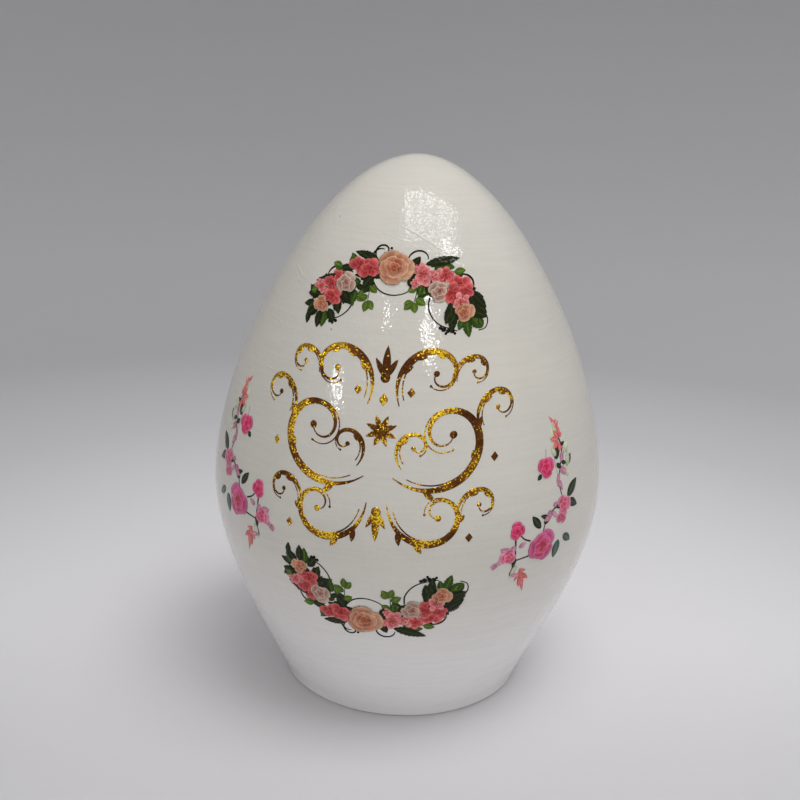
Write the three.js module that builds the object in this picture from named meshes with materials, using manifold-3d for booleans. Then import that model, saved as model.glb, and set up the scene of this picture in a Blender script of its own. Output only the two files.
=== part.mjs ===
import * as THREE from 'three';
import { mergeVertices } from 'three/addons/utils/BufferGeometryUtils.js';
import { TessellateModifier } from 'three/addons/modifiers/TessellateModifier.js';
import Module from 'manifold-3d';

const wasm = await Module();
wasm.setup();

// Decorated table egg in millimetres, +Z up, standing on its flat foot at the origin.
// The decorated front faces -Y.

// Turned wooden egg
const eggHeight = 120;
const bellyRadius = 44.4;
const bellyHeight = 47.6;
const footRadius = 28.4;
const footEdgeRadius = 0.8;
const crownReach = 21.3;
const shoulderReach = 25.7;
const hipReach = 18.6;
const footReach = 3.4;
const footFlare = 0.7;
const eggSegments = 56;
const crownRings = 14;
const bodyRings = 9;
const edgeRings = 3;
const weldDistance = 1e-4;

// Sheet goods that lie on the egg: how far they clear it, how thick they are, the longest flat
// stretch before they bend and how often they are halved for it, and how finely leaf outlines
// and scrolls are drawn
const glueGap = 0.3;
const paperThickness = 0.3;
const foilThickness = 0.2;
const bendStep = 3.6;
const bendRounds = 12;
const outlineSteps = 3;
const windStep = 24;

// Where the decorations lie. The front is turned a little to the left; distances round the egg
// are taken at its belly, and the others run along its side from the foot's edge or the crown.
const frontBearing = -8;
const garlandSpan = 39.3;
const upperGarlandDrop = 43.8;
const lowerGarlandRise = 42;
const lowerGarlandShift = -1.5;
const sprayHeight = 35.8;
const rightSprayGap = 12.4;
const rightSprayRise = 56;
const leftSprayGap = 11;
const leftSprayRise = 60.5;
const foilClearance = 1.6;

// Shapes of the motifs: petals and lobes of a bloom, where a leaf is widest, how much taller a
// lozenge is than wide, and where and how sharply a pen stroke swells
const dotSides = 8;
const bloomPetals = 5;
const bloomLobe = 0.06;
const leafBulge = 0.42;
const lozengeStretch = 1.2;
const swellPeak = 0.4;
const swellSharpness = 1.3;

// Line widths of the printed stems and of the gold foil
const vineWidth = 3.2;
const stemWidth = 0.7;
const curlWidth = 0.55;
const foilTip = 0.45;
const scrollEase = 2.3;

const paintedWood = { color: 0xdcd7d0, roughness: 0.28, metalness: 0 };
const printedPaper = { color: 0xc9656a, roughness: 0.35, metalness: 0 };
const goldFoil = { color: 0x9a6a1c, roughness: 0.3, metalness: 0.9 };

const decoratedEgg = new THREE.Group();
decoratedEgg.name = 'decorated_egg';

// Geometry helpers

// A closed geometry whose shared corners are one vertex each
function sealed(geometry) {
  const bare = geometry.clone();
  bare.deleteAttribute('normal');
  bare.deleteAttribute('uv');
  const merged = mergeVertices(bare, weldDistance);
  const corners = merged.index.array;
  const kept = [];
  for (let i = 0; i < corners.length; i += 3) {
    const [a, b, c] = [corners[i], corners[i + 1], corners[i + 2]];
    if (a !== b && b !== c && c !== a) {
      kept.push(a, b, c);
    }
  }
  merged.setIndex(kept);
  return merged;
}

function toSolid(geometry) {
  const closed = sealed(geometry);
  return new wasm.Manifold(new wasm.Mesh({
    numProp: 3,
    vertProperties: new Float32Array(closed.attributes.position.array),
    triVerts: new Uint32Array(closed.index.array),
  }));
}

function toGeometry(solid) {
  const mesh = solid.getMesh();
  const geometry = new THREE.BufferGeometry();
  geometry.setAttribute('position', new THREE.BufferAttribute(mesh.vertProperties, 3));
  geometry.setIndex(new THREE.BufferAttribute(mesh.triVerts, 1));
  return geometry;
}

function addPiece(name, geometry, finish) {
  geometry.computeVertexNormals();
  const piece = new THREE.Mesh(geometry, new THREE.MeshStandardMaterial(finish));
  piece.name = name;
  decoratedEgg.add(piece);
}

// Side of the egg as radius and height, from the foot's edge up to the crown
function eggSide() {
  const foot = new THREE.Vector2(footRadius, footEdgeRadius);
  const belly = new THREE.Vector2(bellyRadius, bellyHeight);
  const crown = new THREE.Vector2(0, eggHeight);
  const side = new THREE.CurvePath();
  side.add(new THREE.CubicBezierCurve(
    foot,
    new THREE.Vector2(footRadius + footFlare, footEdgeRadius + footReach),
    new THREE.Vector2(bellyRadius, bellyHeight - hipReach),
    belly,
  ));
  side.add(new THREE.CubicBezierCurve(
    belly,
    new THREE.Vector2(bellyRadius, bellyHeight + shoulderReach),
    new THREE.Vector2(crownReach, eggHeight),
    crown,
  ));
  return side;
}

const side = eggSide();
const sideLength = side.getLength();

// The egg: one revolved profile with a flat foot and a softened foot edge
function turnedEgg() {
  const profile = [new THREE.Vector2(0, 0)];
  for (let i = 0; i < edgeRings; i++) {
    const angle = (i / edgeRings) * Math.PI / 2;
    profile.push(new THREE.Vector2(
      footRadius - footEdgeRadius + footEdgeRadius * Math.sin(angle),
      footEdgeRadius - footEdgeRadius * Math.cos(angle),
    ));
  }
  const [body, crown] = side.curves;
  profile.push(...body.getSpacedPoints(bodyRings).slice(0, -1));
  profile.push(...crown.getSpacedPoints(crownRings));
  const egg = new THREE.LatheGeometry(profile, eggSegments);
  egg.rotateX(Math.PI / 2);
  return sealed(egg);
}

// Flat motifs, drawn in the plane of the sheet with x to the right and y up

function slab(shape, thickness) {
  return toSolid(new THREE.ExtrudeGeometry(shape, {
    depth: thickness,
    bevelEnabled: false,
    curveSegments: outlineSteps,
  }));
}

function ring(centreX, centreY, radiusAt, sides) {
  const points = [];
  for (let i = 0; i < sides; i++) {
    const angle = (i / sides) * 2 * Math.PI;
    const radius = radiusAt(angle);
    points.push(new THREE.Vector2(
      centreX + radius * Math.cos(angle),
      centreY + radius * Math.sin(angle),
    ));
  }
  return new THREE.Shape(points);
}

function dot(centreX, centreY, radius) {
  return ring(centreX, centreY, () => radius, dotSides);
}

// A bloom seen from above: a round with lobed petal edges
function bloom(centreX, centreY, radius) {
  const edge = (angle) => radius * (1 + bloomLobe * Math.cos(bloomPetals * angle));
  return ring(centreX, centreY, edge, 2 * bloomPetals);
}

function lozenge(centreX, centreY, half) {
  return new THREE.Shape([
    new THREE.Vector2(centreX - half, centreY),
    new THREE.Vector2(centreX, centreY - lozengeStretch * half),
    new THREE.Vector2(centreX + half, centreY),
    new THREE.Vector2(centreX, centreY + lozengeStretch * half),
  ]);
}

// A pointed leaf from its base, along a heading in degrees
function leaf(baseX, baseY, heading, length, width) {
  const angle = THREE.MathUtils.degToRad(heading);
  const along = new THREE.Vector2(Math.cos(angle), Math.sin(angle));
  const across = new THREE.Vector2(-along.y, along.x);
  const base = new THREE.Vector2(baseX, baseY);
  const tip = base.clone().addScaledVector(along, length);
  const bulge = base.clone().addScaledVector(along, leafBulge * length);
  const left = bulge.clone().addScaledVector(across, width);
  const right = bulge.clone().addScaledVector(across, -width);
  const shape = new THREE.Shape();
  shape.moveTo(base.x, base.y);
  shape.quadraticCurveTo(right.x, right.y, tip.x, tip.y);
  shape.quadraticCurveTo(left.x, left.y, base.x, base.y);
  return shape;
}

// Centre line of a scroll that winds in from an outer to an inner radius, angles in degrees
function scrollLine([centreX, centreY, from, turn, outer, inner]) {
  const steps = Math.ceil(Math.abs(turn) / windStep);
  const line = [];
  for (let i = 0; i <= steps; i++) {
    const share = i / steps;
    const angle = THREE.MathUtils.degToRad(from + turn * share);
    const radius = inner + (outer - inner) * (1 - share) ** scrollEase;
    line.push(new THREE.Vector2(
      centreX + radius * Math.cos(angle),
      centreY + radius * Math.sin(angle),
    ));
  }
  return line;
}

function directionAt(line, i) {
  const before = line[Math.max(i - 1, 0)];
  const after = line[Math.min(i + 1, line.length - 1)];
  return after.clone().sub(before).normalize();
}

// A band along a line, whose width follows its share of the length
function ribbon(line, widthAt) {
  const travelled = [0];
  for (let i = 1; i < line.length; i++) {
    travelled.push(travelled[i - 1] + line[i].distanceTo(line[i - 1]));
  }
  const left = [];
  const right = [];
  line.forEach((point, i) => {
    const direction = directionAt(line, i);
    const across = new THREE.Vector2(-direction.y, direction.x);
    const half = widthAt(travelled[i] / travelled.at(-1)) / 2;
    left.push(point.clone().addScaledVector(across, half));
    right.push(point.clone().addScaledVector(across, -half));
  });
  return new THREE.Shape([...right, ...left.reverse()]);
}

// A pen-like stroke: thin ends and a swell near two fifths of the way
function swelling(widest) {
  return (share) => {
    const rise = share < swellPeak ? share / swellPeak : (1 - share) / (1 - swellPeak);
    return foilTip + (widest - foilTip) * Math.sin(rise * Math.PI / 2) ** swellSharpness;
  };
}

// Bend a flat sheet onto the egg. Its y runs up along the side from the given rise, and its x
// runs round the egg at true length at each height.
function layOnEgg(sheet, { round = 0, rise, scale }) {
  const flat = sheet.clone().scale(scale, scale, 1);
  const laid = sealed(new TessellateModifier(bendStep, bendRounds).modify(flat));
  const position = laid.attributes.position;
  const middle = THREE.MathUtils.degToRad(frontBearing) + round / bellyRadius;
  for (let i = 0; i < position.count; i++) {
    const share = THREE.MathUtils.clamp((rise + position.getY(i)) / sideLength, 0, 1);
    const foot = side.getPointAt(share);
    const slope = side.getTangentAt(share);
    const lift = glueGap + position.getZ(i);
    const angle = middle + position.getX(i) / foot.x;
    const radius = foot.x + lift * slope.y;
    position.setXYZ(
      i,
      radius * Math.sin(angle),
      -radius * Math.cos(angle),
      foot.y - lift * slope.x,
    );
  }
  return laid;
}

// Motifs joined into one flat sheet
function joined(shapes, thickness) {
  const slabs = shapes.map((shape) => slab(shape, thickness));
  const sheet = toGeometry(slabs.reduce((whole, next) => whole.add(next)));
  sheet.computeBoundingBox();
  return sheet;
}

// Printed paper cut-outs

// Garland: a vine under an arch of blooms, with leaves, light sprigs and curled tendrils
const garland = {
  vine: [
    [-15.6, -1.2], [-14.2, 2.6], [-10.2, 5.6], [-5.6, 7.8], [-0.3, 8.6], [5.4, 7.4], [10.4, 4.9],
    [13.4, 2.4], [14.4, -0.6],
  ],
  blooms: [
    [-0.3, 8.3, 3.7], [-6.4, 7.8, 2.8], [-10.1, 4.3, 2.5], [-16, 3, 1.8], [-13.6, 3.3, 2.2],
    [-13.1, 0.7, 1.9], [-15.4, -0.7, 1.9], [5.4, 7.3, 2.7], [8.9, 3.7, 2.5], [10.6, 6.2, 2.2],
    [13.8, 4.5, 2.4], [12.8, 1.3, 1.9], [14.3, -0.6, 2.2],
  ],
  leaves: [
    [-4, 10.2, 166, 5.2, 1.6], [5.4, 9, 16, 6.6, 1.6], [16, -0.4, 340, 4.2, 1.3],
    [11.8, 1.4, 256, 4.4, 1.3], [-12, 1.6, 284, 4, 1.3], [-15.4, -2, 262, 3.8, 1.3],
    [-16.2, -1.2, 222, 3.4, 1.3], [-16.4, 1.4, 186, 3, 1.2], [14.8, -2, 284, 3.8, 1.2],
    [15.8, -1.6, 318, 3.6, 1.2], [15, 0.8, 8, 4, 1.3], [-11.2, 6, 124, 4.4, 1.4],
    [11.4, 6.6, 62, 3.8, 1.3],
  ],
  sprigs: [
    [[-5.6, 6.6], [-5.2, 3.8], [-5, 1.2]],
    [[4.9, 6], [4.6, 3.6], [4.3, 1.6]],
  ],
  sprigLeaves: [
    [-5.2, 4, 346, 2.2, 0.9], [-5.2, 2.4, 204, 2.4, 0.9], [-5, 1.6, 276, 2.6, 1],
    [4.6, 4.4, 206, 2.2, 0.9], [4.6, 4.2, 332, 2.2, 0.9], [4.4, 2.2, 320, 2.6, 0.9],
    [4.4, 2, 242, 2.6, 1],
  ],
  curls: [
    [-2.8, 12.4, 270, -330, 2.6, 0.8], [4.4, 10.4, 190, -190, 2.3, 1.5],
    [-12.4, 5.2, 190, -190, 2.5, 2], [13.6, 4.6, 130, -190, 2.8, 2.1],
    [-10.6, -0.6, 80, 190, 2.4, 1.7], [10.2, -0.4, 110, 200, 2.6, 1.9],
  ],
};

// Spray: a drooping stem of rosebuds, heavier towards its foot
const spray = {
  stems: [
    [[3, 13], [4, 6.4], [3.4, -0.4], [0.4, -4.6], [-2.6, -7.6]],
    [[-2.6, -7.6], [-5.4, -6.2], [-9.4, -4], [-10.4, -8.4]],
    [[-1.2, 8], [2, 8.8], [3.9, 8.4]],
    [[3.4, -0.4], [5.6, -1], [7.2, -0.8]],
    [[-2.6, -7.6], [-5.2, -10.6], [-6, -13.4]],
  ],
  blooms: [
    [-1.3, 8, 2.1], [-2.7, -8, 3.4], [-9.5, -3.5, 1.9], [-11, -8.5, 2.2], [3.7, -1, 2.5],
  ],
  leaves: [
    [3.3, 12, 100, 5.8, 1], [3.6, 9, 118, 3.4, 1.6], [3.4, 8.6, 208, 2.6, 1.1],
    [4.4, 0.4, 44, 5.2, 1.4], [5, -1.2, 340, 4, 1.3], [0.6, -4.4, 164, 5, 1.5],
    [0, -9, 346, 4.4, 1.4], [0.2, -8, 4, 7, 1.2], [-12.6, -9.2, 214, 2.4, 0.9],
    [-5.8, -12.4, 284, 6, 1.7], [-5.8, -11.6, 214, 4, 1.4],
  ],
};

// A smooth printed stem through a few points
function stem(points, width) {
  const through = points.map(([x, y]) => new THREE.Vector2(x, y));
  const line = new THREE.SplineCurve(through).getSpacedPoints(through.length * 2);
  return ribbon(line, () => width);
}

// A copy of a row whose place is mirrored: sign -1 in x or in y turns the headings too
function flipLeaf([x, y, heading, length, width], flipX, flipY) {
  const turned = flipX < 0 ? 180 - heading : heading;
  return leaf(flipX * x, flipY * y, flipY < 0 ? -turned : turned, length, width);
}

function flipPoints(points, flipX, flipY) {
  return points.map(([x, y]) => [flipX * x, flipY * y]);
}

function flipCurl([x, y, from, turn, outer, inner], flipX, flipY) {
  const start = flipX < 0 ? 180 - from : from;
  const mirrored = flipX * flipY;
  return [flipX * x, flipY * y, flipY < 0 ? -start : start, mirrored * turn, outer, inner];
}

function garlandSheet(flipY) {
  const curls = garland.curls.map((curl) => scrollLine(flipCurl(curl, 1, flipY)));
  return joined([
    stem(flipPoints(garland.vine, 1, flipY), vineWidth),
    ...garland.sprigs.map((points) => stem(flipPoints(points, 1, flipY), stemWidth)),
    ...garland.blooms.map(([x, y, radius]) => bloom(x, flipY * y, radius)),
    ...[...garland.leaves, ...garland.sprigLeaves].map((row) => flipLeaf(row, 1, flipY)),
    ...curls.map((line) => ribbon(line, () => curlWidth)),
  ], paperThickness);
}

function spraySheet(flipX) {
  return joined([
    ...spray.stems.map((points) => stem(flipPoints(points, flipX, 1), stemWidth)),
    ...spray.blooms.map(([x, y, radius]) => bloom(flipX * x, y, radius)),
    ...spray.leaves.map((row) => flipLeaf(row, flipX, 1)),
  ], paperThickness);
}

// Gold foil ornament: mirrored scrolls about a finial, a rosette and a pendant

// Scroll rows: centre x and y, starting angle, turn, outer and inner radius
// Branch leaves: share of the scroll, side, length
const foilScrolls = {
  great_scroll: [
    {
      line: [12.2, 3, 222, 500, 12.6, 1.8],
      width: 1.7,
      bud: 0.75,
      leaves: [[0.14, -1, 3.2], [0.4, 1, 2.4], [0.54, -1, 2.6]],
    },
    {
      line: [24, 8, 226, -400, 6.4, 1.1],
      width: 0.95,
      bud: 0.5,
      leaves: [[0.3, 1, 2.4], [0.52, 1, 2]],
    },
  ],
  inner_curl: [
    { line: [7.2, 0.6, 236, -400, 5.1, 0.8], width: 0.85, bud: 0.45, leaves: [[0.34, 1, 2]] },
  ],
  crest_scroll: [
    {
      line: [10.6, 14, 217, -440, 9.4, 1.1],
      width: 1.3,
      bud: 0.6,
      leaves: [[0.22, 1, 2.8], [0.36, 1, 2.6], [0.52, 1, 2.2]],
    },
    {
      line: [18.2, 14.8, 205, -400, 5.6, 0.9],
      width: 0.85,
      bud: 0.45,
      leaves: [[0.34, 1, 2.2], [0.56, 1, 1.8]],
    },
  ],
  lower_scroll: [
    {
      line: [11.8, -11.9, 172, 470, 9.9, 1.2],
      width: 1.4,
      bud: 0.6,
      leaves: [[0.18, -1, 3], [0.3, -1, 2.8], [0.62, -1, 2]],
    },
    {
      line: [21, -11, 204, -400, 5.8, 0.9],
      width: 0.9,
      bud: 0.45,
      leaves: [[0.32, 1, 2.2], [0.54, 1, 1.8]],
    },
  ],
};
const foilLeafWidth = 1.15;
const foilLeafSplay = 36;
const lozengeHalf = 0.8;
const foilLozenges = {
  crest_lozenge: [5.2, 11],
  side_lozenge: [22.8, -1.6],
  foot_lozenge: [18.4, -17.2],
};

function foilScroll({ line, width, bud, leaves }, flipX) {
  const centre = scrollLine(flipCurl(line, flipX, 1));
  const end = centre.at(-1);
  const winding = Math.sign(line[3]) * flipX;
  const shapes = [ribbon(centre, swelling(width)), dot(end.x, end.y, bud)];
  for (const [share, sideOfLine, length] of leaves) {
    const at = Math.round(share * (centre.length - 1));
    const heading = THREE.MathUtils.radToDeg(directionAt(centre, at).angle());
    const splay = heading + winding * sideOfLine * foilLeafSplay;
    shapes.push(leaf(centre[at].x, centre[at].y, splay, length, foilLeafWidth));
  }
  return shapes;
}

// Petals fanned about a heading, from one root
function fan(rootX, rootY, petals) {
  return petals.map(([heading, length, width]) => leaf(rootX, rootY, heading, length, width));
}

const rosettePetals = Array.from({ length: 8 }, (_, i) => [i * 45 + 22.5, 3.2, 1.1]);

const foilCentre = {
  finial: [
    dot(0, 13.6, 0.95),
    ...fan(0, 13.6, [[90, 6.4, 1.6], [60, 4.4, 1.2], [120, 4.4, 1.2]]),
  ],
  rosette: [dot(0, 3.4, 1.3), ...fan(0, 3.4, rosettePetals)],
  pendant: [
    dot(0, -12.2, 0.95),
    ...fan(0, -12.2, [[270, 6, 1.5], [300, 3.8, 1.1], [240, 3.8, 1.1]]),
  ],
  centre_lozenge: [lozenge(0, 9.4, 1)],
};

const foilSheets = new Map();
for (const [name, shapes] of Object.entries(foilCentre)) {
  foilSheets.set(`gold_${name}`, joined(shapes, foilThickness));
}
for (const [hand, flipX] of [['left', -1], ['right', 1]]) {
  for (const [name, strokes] of Object.entries(foilScrolls)) {
    const shapes = strokes.flatMap((stroke) => foilScroll(stroke, flipX));
    foilSheets.set(`gold_${name}_${hand}`, joined(shapes, foilThickness));
  }
  for (const [name, [x, y]] of Object.entries(foilLozenges)) {
    const shape = lozenge(flipX * x, y, lozengeHalf);
    foilSheets.set(`gold_${name}_${hand}`, joined([shape], foilThickness));
  }
}

// Assembly

addPiece('egg_body', turnedEgg(), paintedWood);

const upperGarland = garlandSheet(1);
const lowerGarland = garlandSheet(-1);
const drawnGarland = upperGarland.boundingBox;
const garlandScale = garlandSpan / (drawnGarland.max.x - drawnGarland.min.x);
const upperGarlandRise = sideLength - upperGarlandDrop;

addPiece(
  'upper_garland',
  layOnEgg(upperGarland, { rise: upperGarlandRise, scale: garlandScale }),
  printedPaper,
);
addPiece(
  'lower_garland',
  layOnEgg(lowerGarland, {
    rise: lowerGarlandRise,
    round: lowerGarlandShift,
    scale: garlandScale,
  }),
  printedPaper,
);

// The foil ornament fills the space between the inner tips of the two garlands
const drawnFoil = new THREE.Box3();
foilSheets.forEach((sheet) => drawnFoil.union(sheet.boundingBox));
const garlandInset = -drawnGarland.min.y * garlandScale + foilClearance;
const foilTop = upperGarlandRise - garlandInset;
const foilFoot = lowerGarlandRise + garlandInset;
const foilScale = (foilTop - foilFoot) / (drawnFoil.max.y - drawnFoil.min.y);
const foilPlace = { rise: foilFoot - drawnFoil.min.y * foilScale, scale: foilScale };
foilSheets.forEach((sheet, name) => addPiece(name, layOnEgg(sheet, foilPlace), goldFoil));

// The sprays stand on either side of the foil ornament
const foilHalfWidth = drawnFoil.max.x * foilScale;
const sprayPlaces = {
  right: { flipX: 1, gap: rightSprayGap, rise: rightSprayRise },
  left: { flipX: -1, gap: leftSprayGap, rise: leftSprayRise },
};
for (const [hand, { flipX, gap, rise }] of Object.entries(sprayPlaces)) {
  const sheet = spraySheet(flipX);
  const drawn = sheet.boundingBox;
  const round = flipX * (foilHalfWidth + gap);
  const scale = sprayHeight / (drawn.max.y - drawn.min.y);
  addPiece(`${hand}_spray`, layOnEgg(sheet, { round, rise, scale }), printedPaper);
}

export default decoratedEgg;
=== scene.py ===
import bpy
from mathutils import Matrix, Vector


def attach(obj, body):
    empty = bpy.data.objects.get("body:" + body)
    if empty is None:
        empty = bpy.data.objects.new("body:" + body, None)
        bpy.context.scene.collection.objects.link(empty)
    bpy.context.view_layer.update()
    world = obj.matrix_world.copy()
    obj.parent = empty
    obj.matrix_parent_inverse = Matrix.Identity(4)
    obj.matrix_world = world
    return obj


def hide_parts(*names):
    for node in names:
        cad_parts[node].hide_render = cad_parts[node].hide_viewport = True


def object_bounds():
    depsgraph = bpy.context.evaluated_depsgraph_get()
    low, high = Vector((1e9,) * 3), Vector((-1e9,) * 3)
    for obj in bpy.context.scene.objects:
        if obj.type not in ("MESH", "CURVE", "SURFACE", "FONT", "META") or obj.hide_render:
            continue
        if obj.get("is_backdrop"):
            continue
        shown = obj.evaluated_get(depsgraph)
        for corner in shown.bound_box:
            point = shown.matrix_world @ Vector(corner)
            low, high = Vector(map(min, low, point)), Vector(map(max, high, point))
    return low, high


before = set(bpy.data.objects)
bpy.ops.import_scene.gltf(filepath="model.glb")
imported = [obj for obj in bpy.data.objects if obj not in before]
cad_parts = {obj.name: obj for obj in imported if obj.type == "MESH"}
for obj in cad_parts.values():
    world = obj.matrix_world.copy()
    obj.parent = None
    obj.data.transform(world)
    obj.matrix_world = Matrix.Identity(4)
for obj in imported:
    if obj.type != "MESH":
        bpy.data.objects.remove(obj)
cad_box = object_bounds()

import inspect
import math

import bpy
from mathutils import Matrix, Vector

# The egg
# One block of wood turned to an egg with a flat-cut foot. It is brushed white in level strokes
# while it spins, and then varnished. It stands loose, and all the rest is glued to its skin.

MM = 0.001
egg_height = 120 * MM
belly_radius = 44.4 * MM
belly_height = 47.6 * MM
foot_radius = 28.4 * MM
foot_edge = 0.8 * MM
crown_reach = 21.3 * MM
shoulder_reach = 25.7 * MM
hip_reach = 18.6 * MM
foot_reach = 3.4 * MM
foot_flare = 0.7 * MM
foot_smooth = 9 * MM
quarter_round = 0.5523
side_steps = 64
front_bearing = math.radians(-8)


def srgb(red, green, blue):
    """A linear colour from the values that a screen shows."""
    shown = (red, green, blue)
    return (*(v / 12.92 if v < 0.04045 else ((v + 0.055) / 1.055) ** 2.4 for v in shown), 1.0)


def sign(operation, behind=False):
    """What a sign between two values does: it adds the node that works it out."""

    def work_out(self, other):
        first, second = (other, self) if behind else (self, other)
        return self.recipe.join(operation, first, second)

    return work_out


class Value:
    """A node's output. It can be added, subtracted, multiplied and so on like a number."""

    def __init__(self, recipe, socket):
        self.recipe = recipe
        self.socket = socket

    __add__ = sign("ADD")
    __radd__ = sign("ADD", behind=True)
    __sub__ = sign("SUBTRACT")
    __rsub__ = sign("SUBTRACT", behind=True)
    __mul__ = sign("MULTIPLY")
    __truediv__ = sign("DIVIDE")
    __rtruediv__ = sign("DIVIDE", behind=True)
    __pow__ = sign("POWER")


def is_threefold(value):
    """Whether a value is a place or a colour rather than one number."""
    if isinstance(value, Value):
        return value.socket.type in ("VECTOR", "RGBA")
    return isinstance(value, tuple)


def label(name):
    return name.replace("_", " ").capitalize()


families = ("GeometryNode", "ShaderNode", "FunctionNode", "")


class Recipe:
    """A node tree as it is written: each call adds a node and fills or links its sockets."""

    def __init__(self, tree):
        self.tree = tree

    def add(self, kind, fed=(), **settings):
        """A new node, by its kind without the family that Blender puts before it."""
        family = next(name for name in families if hasattr(bpy.types, name + kind))
        node = self.tree.nodes.new(family + kind)
        for setting, value in settings.items():
            setattr(node, setting, value)
        for key, value in fed.items() if isinstance(fed, dict) else enumerate(fed):
            if isinstance(value, Value):
                self.tree.links.new(value.socket, node.inputs[key])
            elif value is not None:
                node.inputs[key].default_value = value
        return node

    def get(self, kind, fed=(), out=0, **settings):
        """The output of a new node, or several where a tuple asks for them."""
        outputs = self.add(kind, fed, **settings).outputs
        if isinstance(out, tuple):
            return [Value(self, outputs[key]) for key in out]
        return Value(self, outputs[out])

    def use(self, tree, **fed):
        """Another tree as one node of this one."""
        kind = tree.bl_idname.replace("NodeTree", "NodeGroup")
        named = {label(name): value for name, value in fed.items()}
        given = [Value(self, socket) for socket in self.add(kind, named, node_tree=tree).outputs]
        return given if len(given) > 1 else given[0]

    def calc(self, operation, *terms):
        return self.get("Math", terms, operation=operation)

    def join(self, operation, first, second):
        if not is_threefold(first):
            return self.calc(operation, first, second)
        if is_threefold(second):
            return self.get("VectorMath", (first, second), operation=operation)
        return self.get("VectorMath", {0: first, "Scale": second}, operation="SCALE")

    def dot(self, first, second):
        fed = (first, second)
        return self.get("VectorMath", fed, "Value", operation="DOT_PRODUCT")

    def vector(self, x=0.0, y=0.0, z=0.0):
        return self.get("CombineXYZ", (x, y, z))

    def parts(self, vector):
        return self.get("SeparateXYZ", (vector,), (0, 1, 2))

    def ease(self, value, low, high, first=0.0, last=1.0, kind="SMOOTHSTEP"):
        fed = (value, low, high, first, last)
        return self.get("MapRange", fed, interpolation_type=kind)

    def mix(self, share, first, second, way="MIX"):
        fed = {0: share, 6: first, 7: second}
        return self.get("Mix", fed, 2, data_type="RGBA", blend_type=way)

    def lit(self, colour, light):
        """A colour made lighter or darker by a share."""
        return self.mix(1.0, colour, self.vector(light, light, light), "MULTIPLY")

    def noise(self, vector, scale, detail=1.0, roughness=0.5):
        fed = {"Vector": vector, "Scale": scale, "Detail": detail, "Roughness": roughness}
        return self.get("TexNoise", fed)

    def store(self, geometry, name, value, domain="POINT", data="FLOAT"):
        fed = {"Geometry": geometry, "Name": name, "Value": value}
        return self.get("StoreNamedAttribute", fed, domain=domain, data_type=data)

    def read(self, name, data="FLOAT"):
        return self.get("InputNamedAttribute", {"Name": name}, data_type=data)

    def here(self):
        return self.parts(self.get("InputPosition"))

    def move(self, geometry, position, chosen=None):
        fed = {"Geometry": geometry, "Position": position, "Selection": chosen}
        return self.get("SetPosition", fed)

    def shape_of(self, thing):
        return self.get("ObjectInfo", {"Object": thing}, "Geometry")

    def merged(self, geometry, distance):
        fed = {"Geometry": geometry, "Distance": distance}
        return self.get("MergeByDistance", fed)

    def real(self, geometry):
        return self.get("RealizeInstances", (geometry,))

    def finished(self, geometry, finish):
        """Smooth and real geometry in its finish."""
        smooth = self.get("SetShadeSmooth", (geometry,))
        return self.get("SetMaterial", {"Geometry": self.real(smooth), "Material": finish})

    def on_object(self):
        return self.get("TexCoord", out="Object")

    def rise(self):
        return self.get("Attribute", out="Fac", attribute_name="Rise")

    def bump(self, height):
        return self.get("Bump", {"Strength": 1.0, "Distance": 1.0, "Height": height})


def socket_kind(value):
    if isinstance(value, str):
        return "NodeSocket" + value
    if isinstance(value, int):
        return "NodeSocketInt"
    if isinstance(value, float):
        return "NodeSocketFloat"
    return "NodeSocketColor" if len(value) == 4 else "NodeSocketVector"


def node_tree(kind):
    """Makes a tree of a function: its arguments are the inputs, and what it returns the outputs."""
    words = {"VALUE": "Float", "VECTOR": "Vector", "RGBA": "Color", "GEOMETRY": "Geometry"}

    def write(rule):
        recipe = Recipe(bpy.data.node_groups.new(label(rule.__name__), kind))
        sockets = recipe.tree.interface.new_socket
        takes = list(inspect.signature(rule).parameters.values())[1:]
        for item in takes:
            usual = item.default
            socket = sockets(label(item.name), in_out="INPUT", socket_type=socket_kind(usual))
            if not isinstance(usual, str):
                socket.default_value = usual
        inputs = recipe.add("NodeGroupInput").outputs
        given = rule(recipe, *(Value(recipe, inputs[label(item.name)]) for item in takes))
        given = given if isinstance(given, tuple) else (given,)
        for value in given:
            word = words[value.socket.type]
            sockets(word, in_out="OUTPUT", socket_type=socket_kind(word))
        recipe.add("NodeGroupOutput", given)
        return recipe.tree

    return write


geometry_tree = node_tree("GeometryNodeTree")
shader_tree = node_tree("ShaderNodeTree")


def finish(rule):
    """Makes a material of a function that returns what its shader is fed."""
    material = bpy.data.materials.new(rule.__name__)
    material.use_nodes = True
    material.node_tree.nodes.clear()
    recipe = Recipe(material.node_tree)
    shader = recipe.get("BsdfPrincipled", rule(recipe))
    recipe.add("OutputMaterial", {"Surface": shader})
    return material


def linked(name, data=None):
    """A new object of the scene."""
    thing = bpy.data.objects.new(name, data)
    bpy.context.collection.objects.link(thing)
    return thing


def made(name, tree, base=None, **settings):
    """A plain object whose mesh a tree makes from its named values."""
    piece = linked(name, base or bpy.data.meshes.new(name))
    maker = piece.modifiers.new(tree.name, "NODES")
    maker.node_group = tree
    inputs = [item for item in tree.interface.items_tree if item.in_out == "INPUT"]
    keys = {item.name: item.identifier for item in inputs}
    for setting, value in settings.items():
        maker[keys[label(setting)]] = value
    shop = bpy.context.evaluated_depsgraph_get()
    mesh = bpy.data.meshes.new_from_object(
        piece.evaluated_get(shop), preserve_all_data_layers=True, depsgraph=shop
    )
    piece.modifiers.remove(maker)
    piece.data = mesh
    mesh.name = name
    return piece


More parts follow.
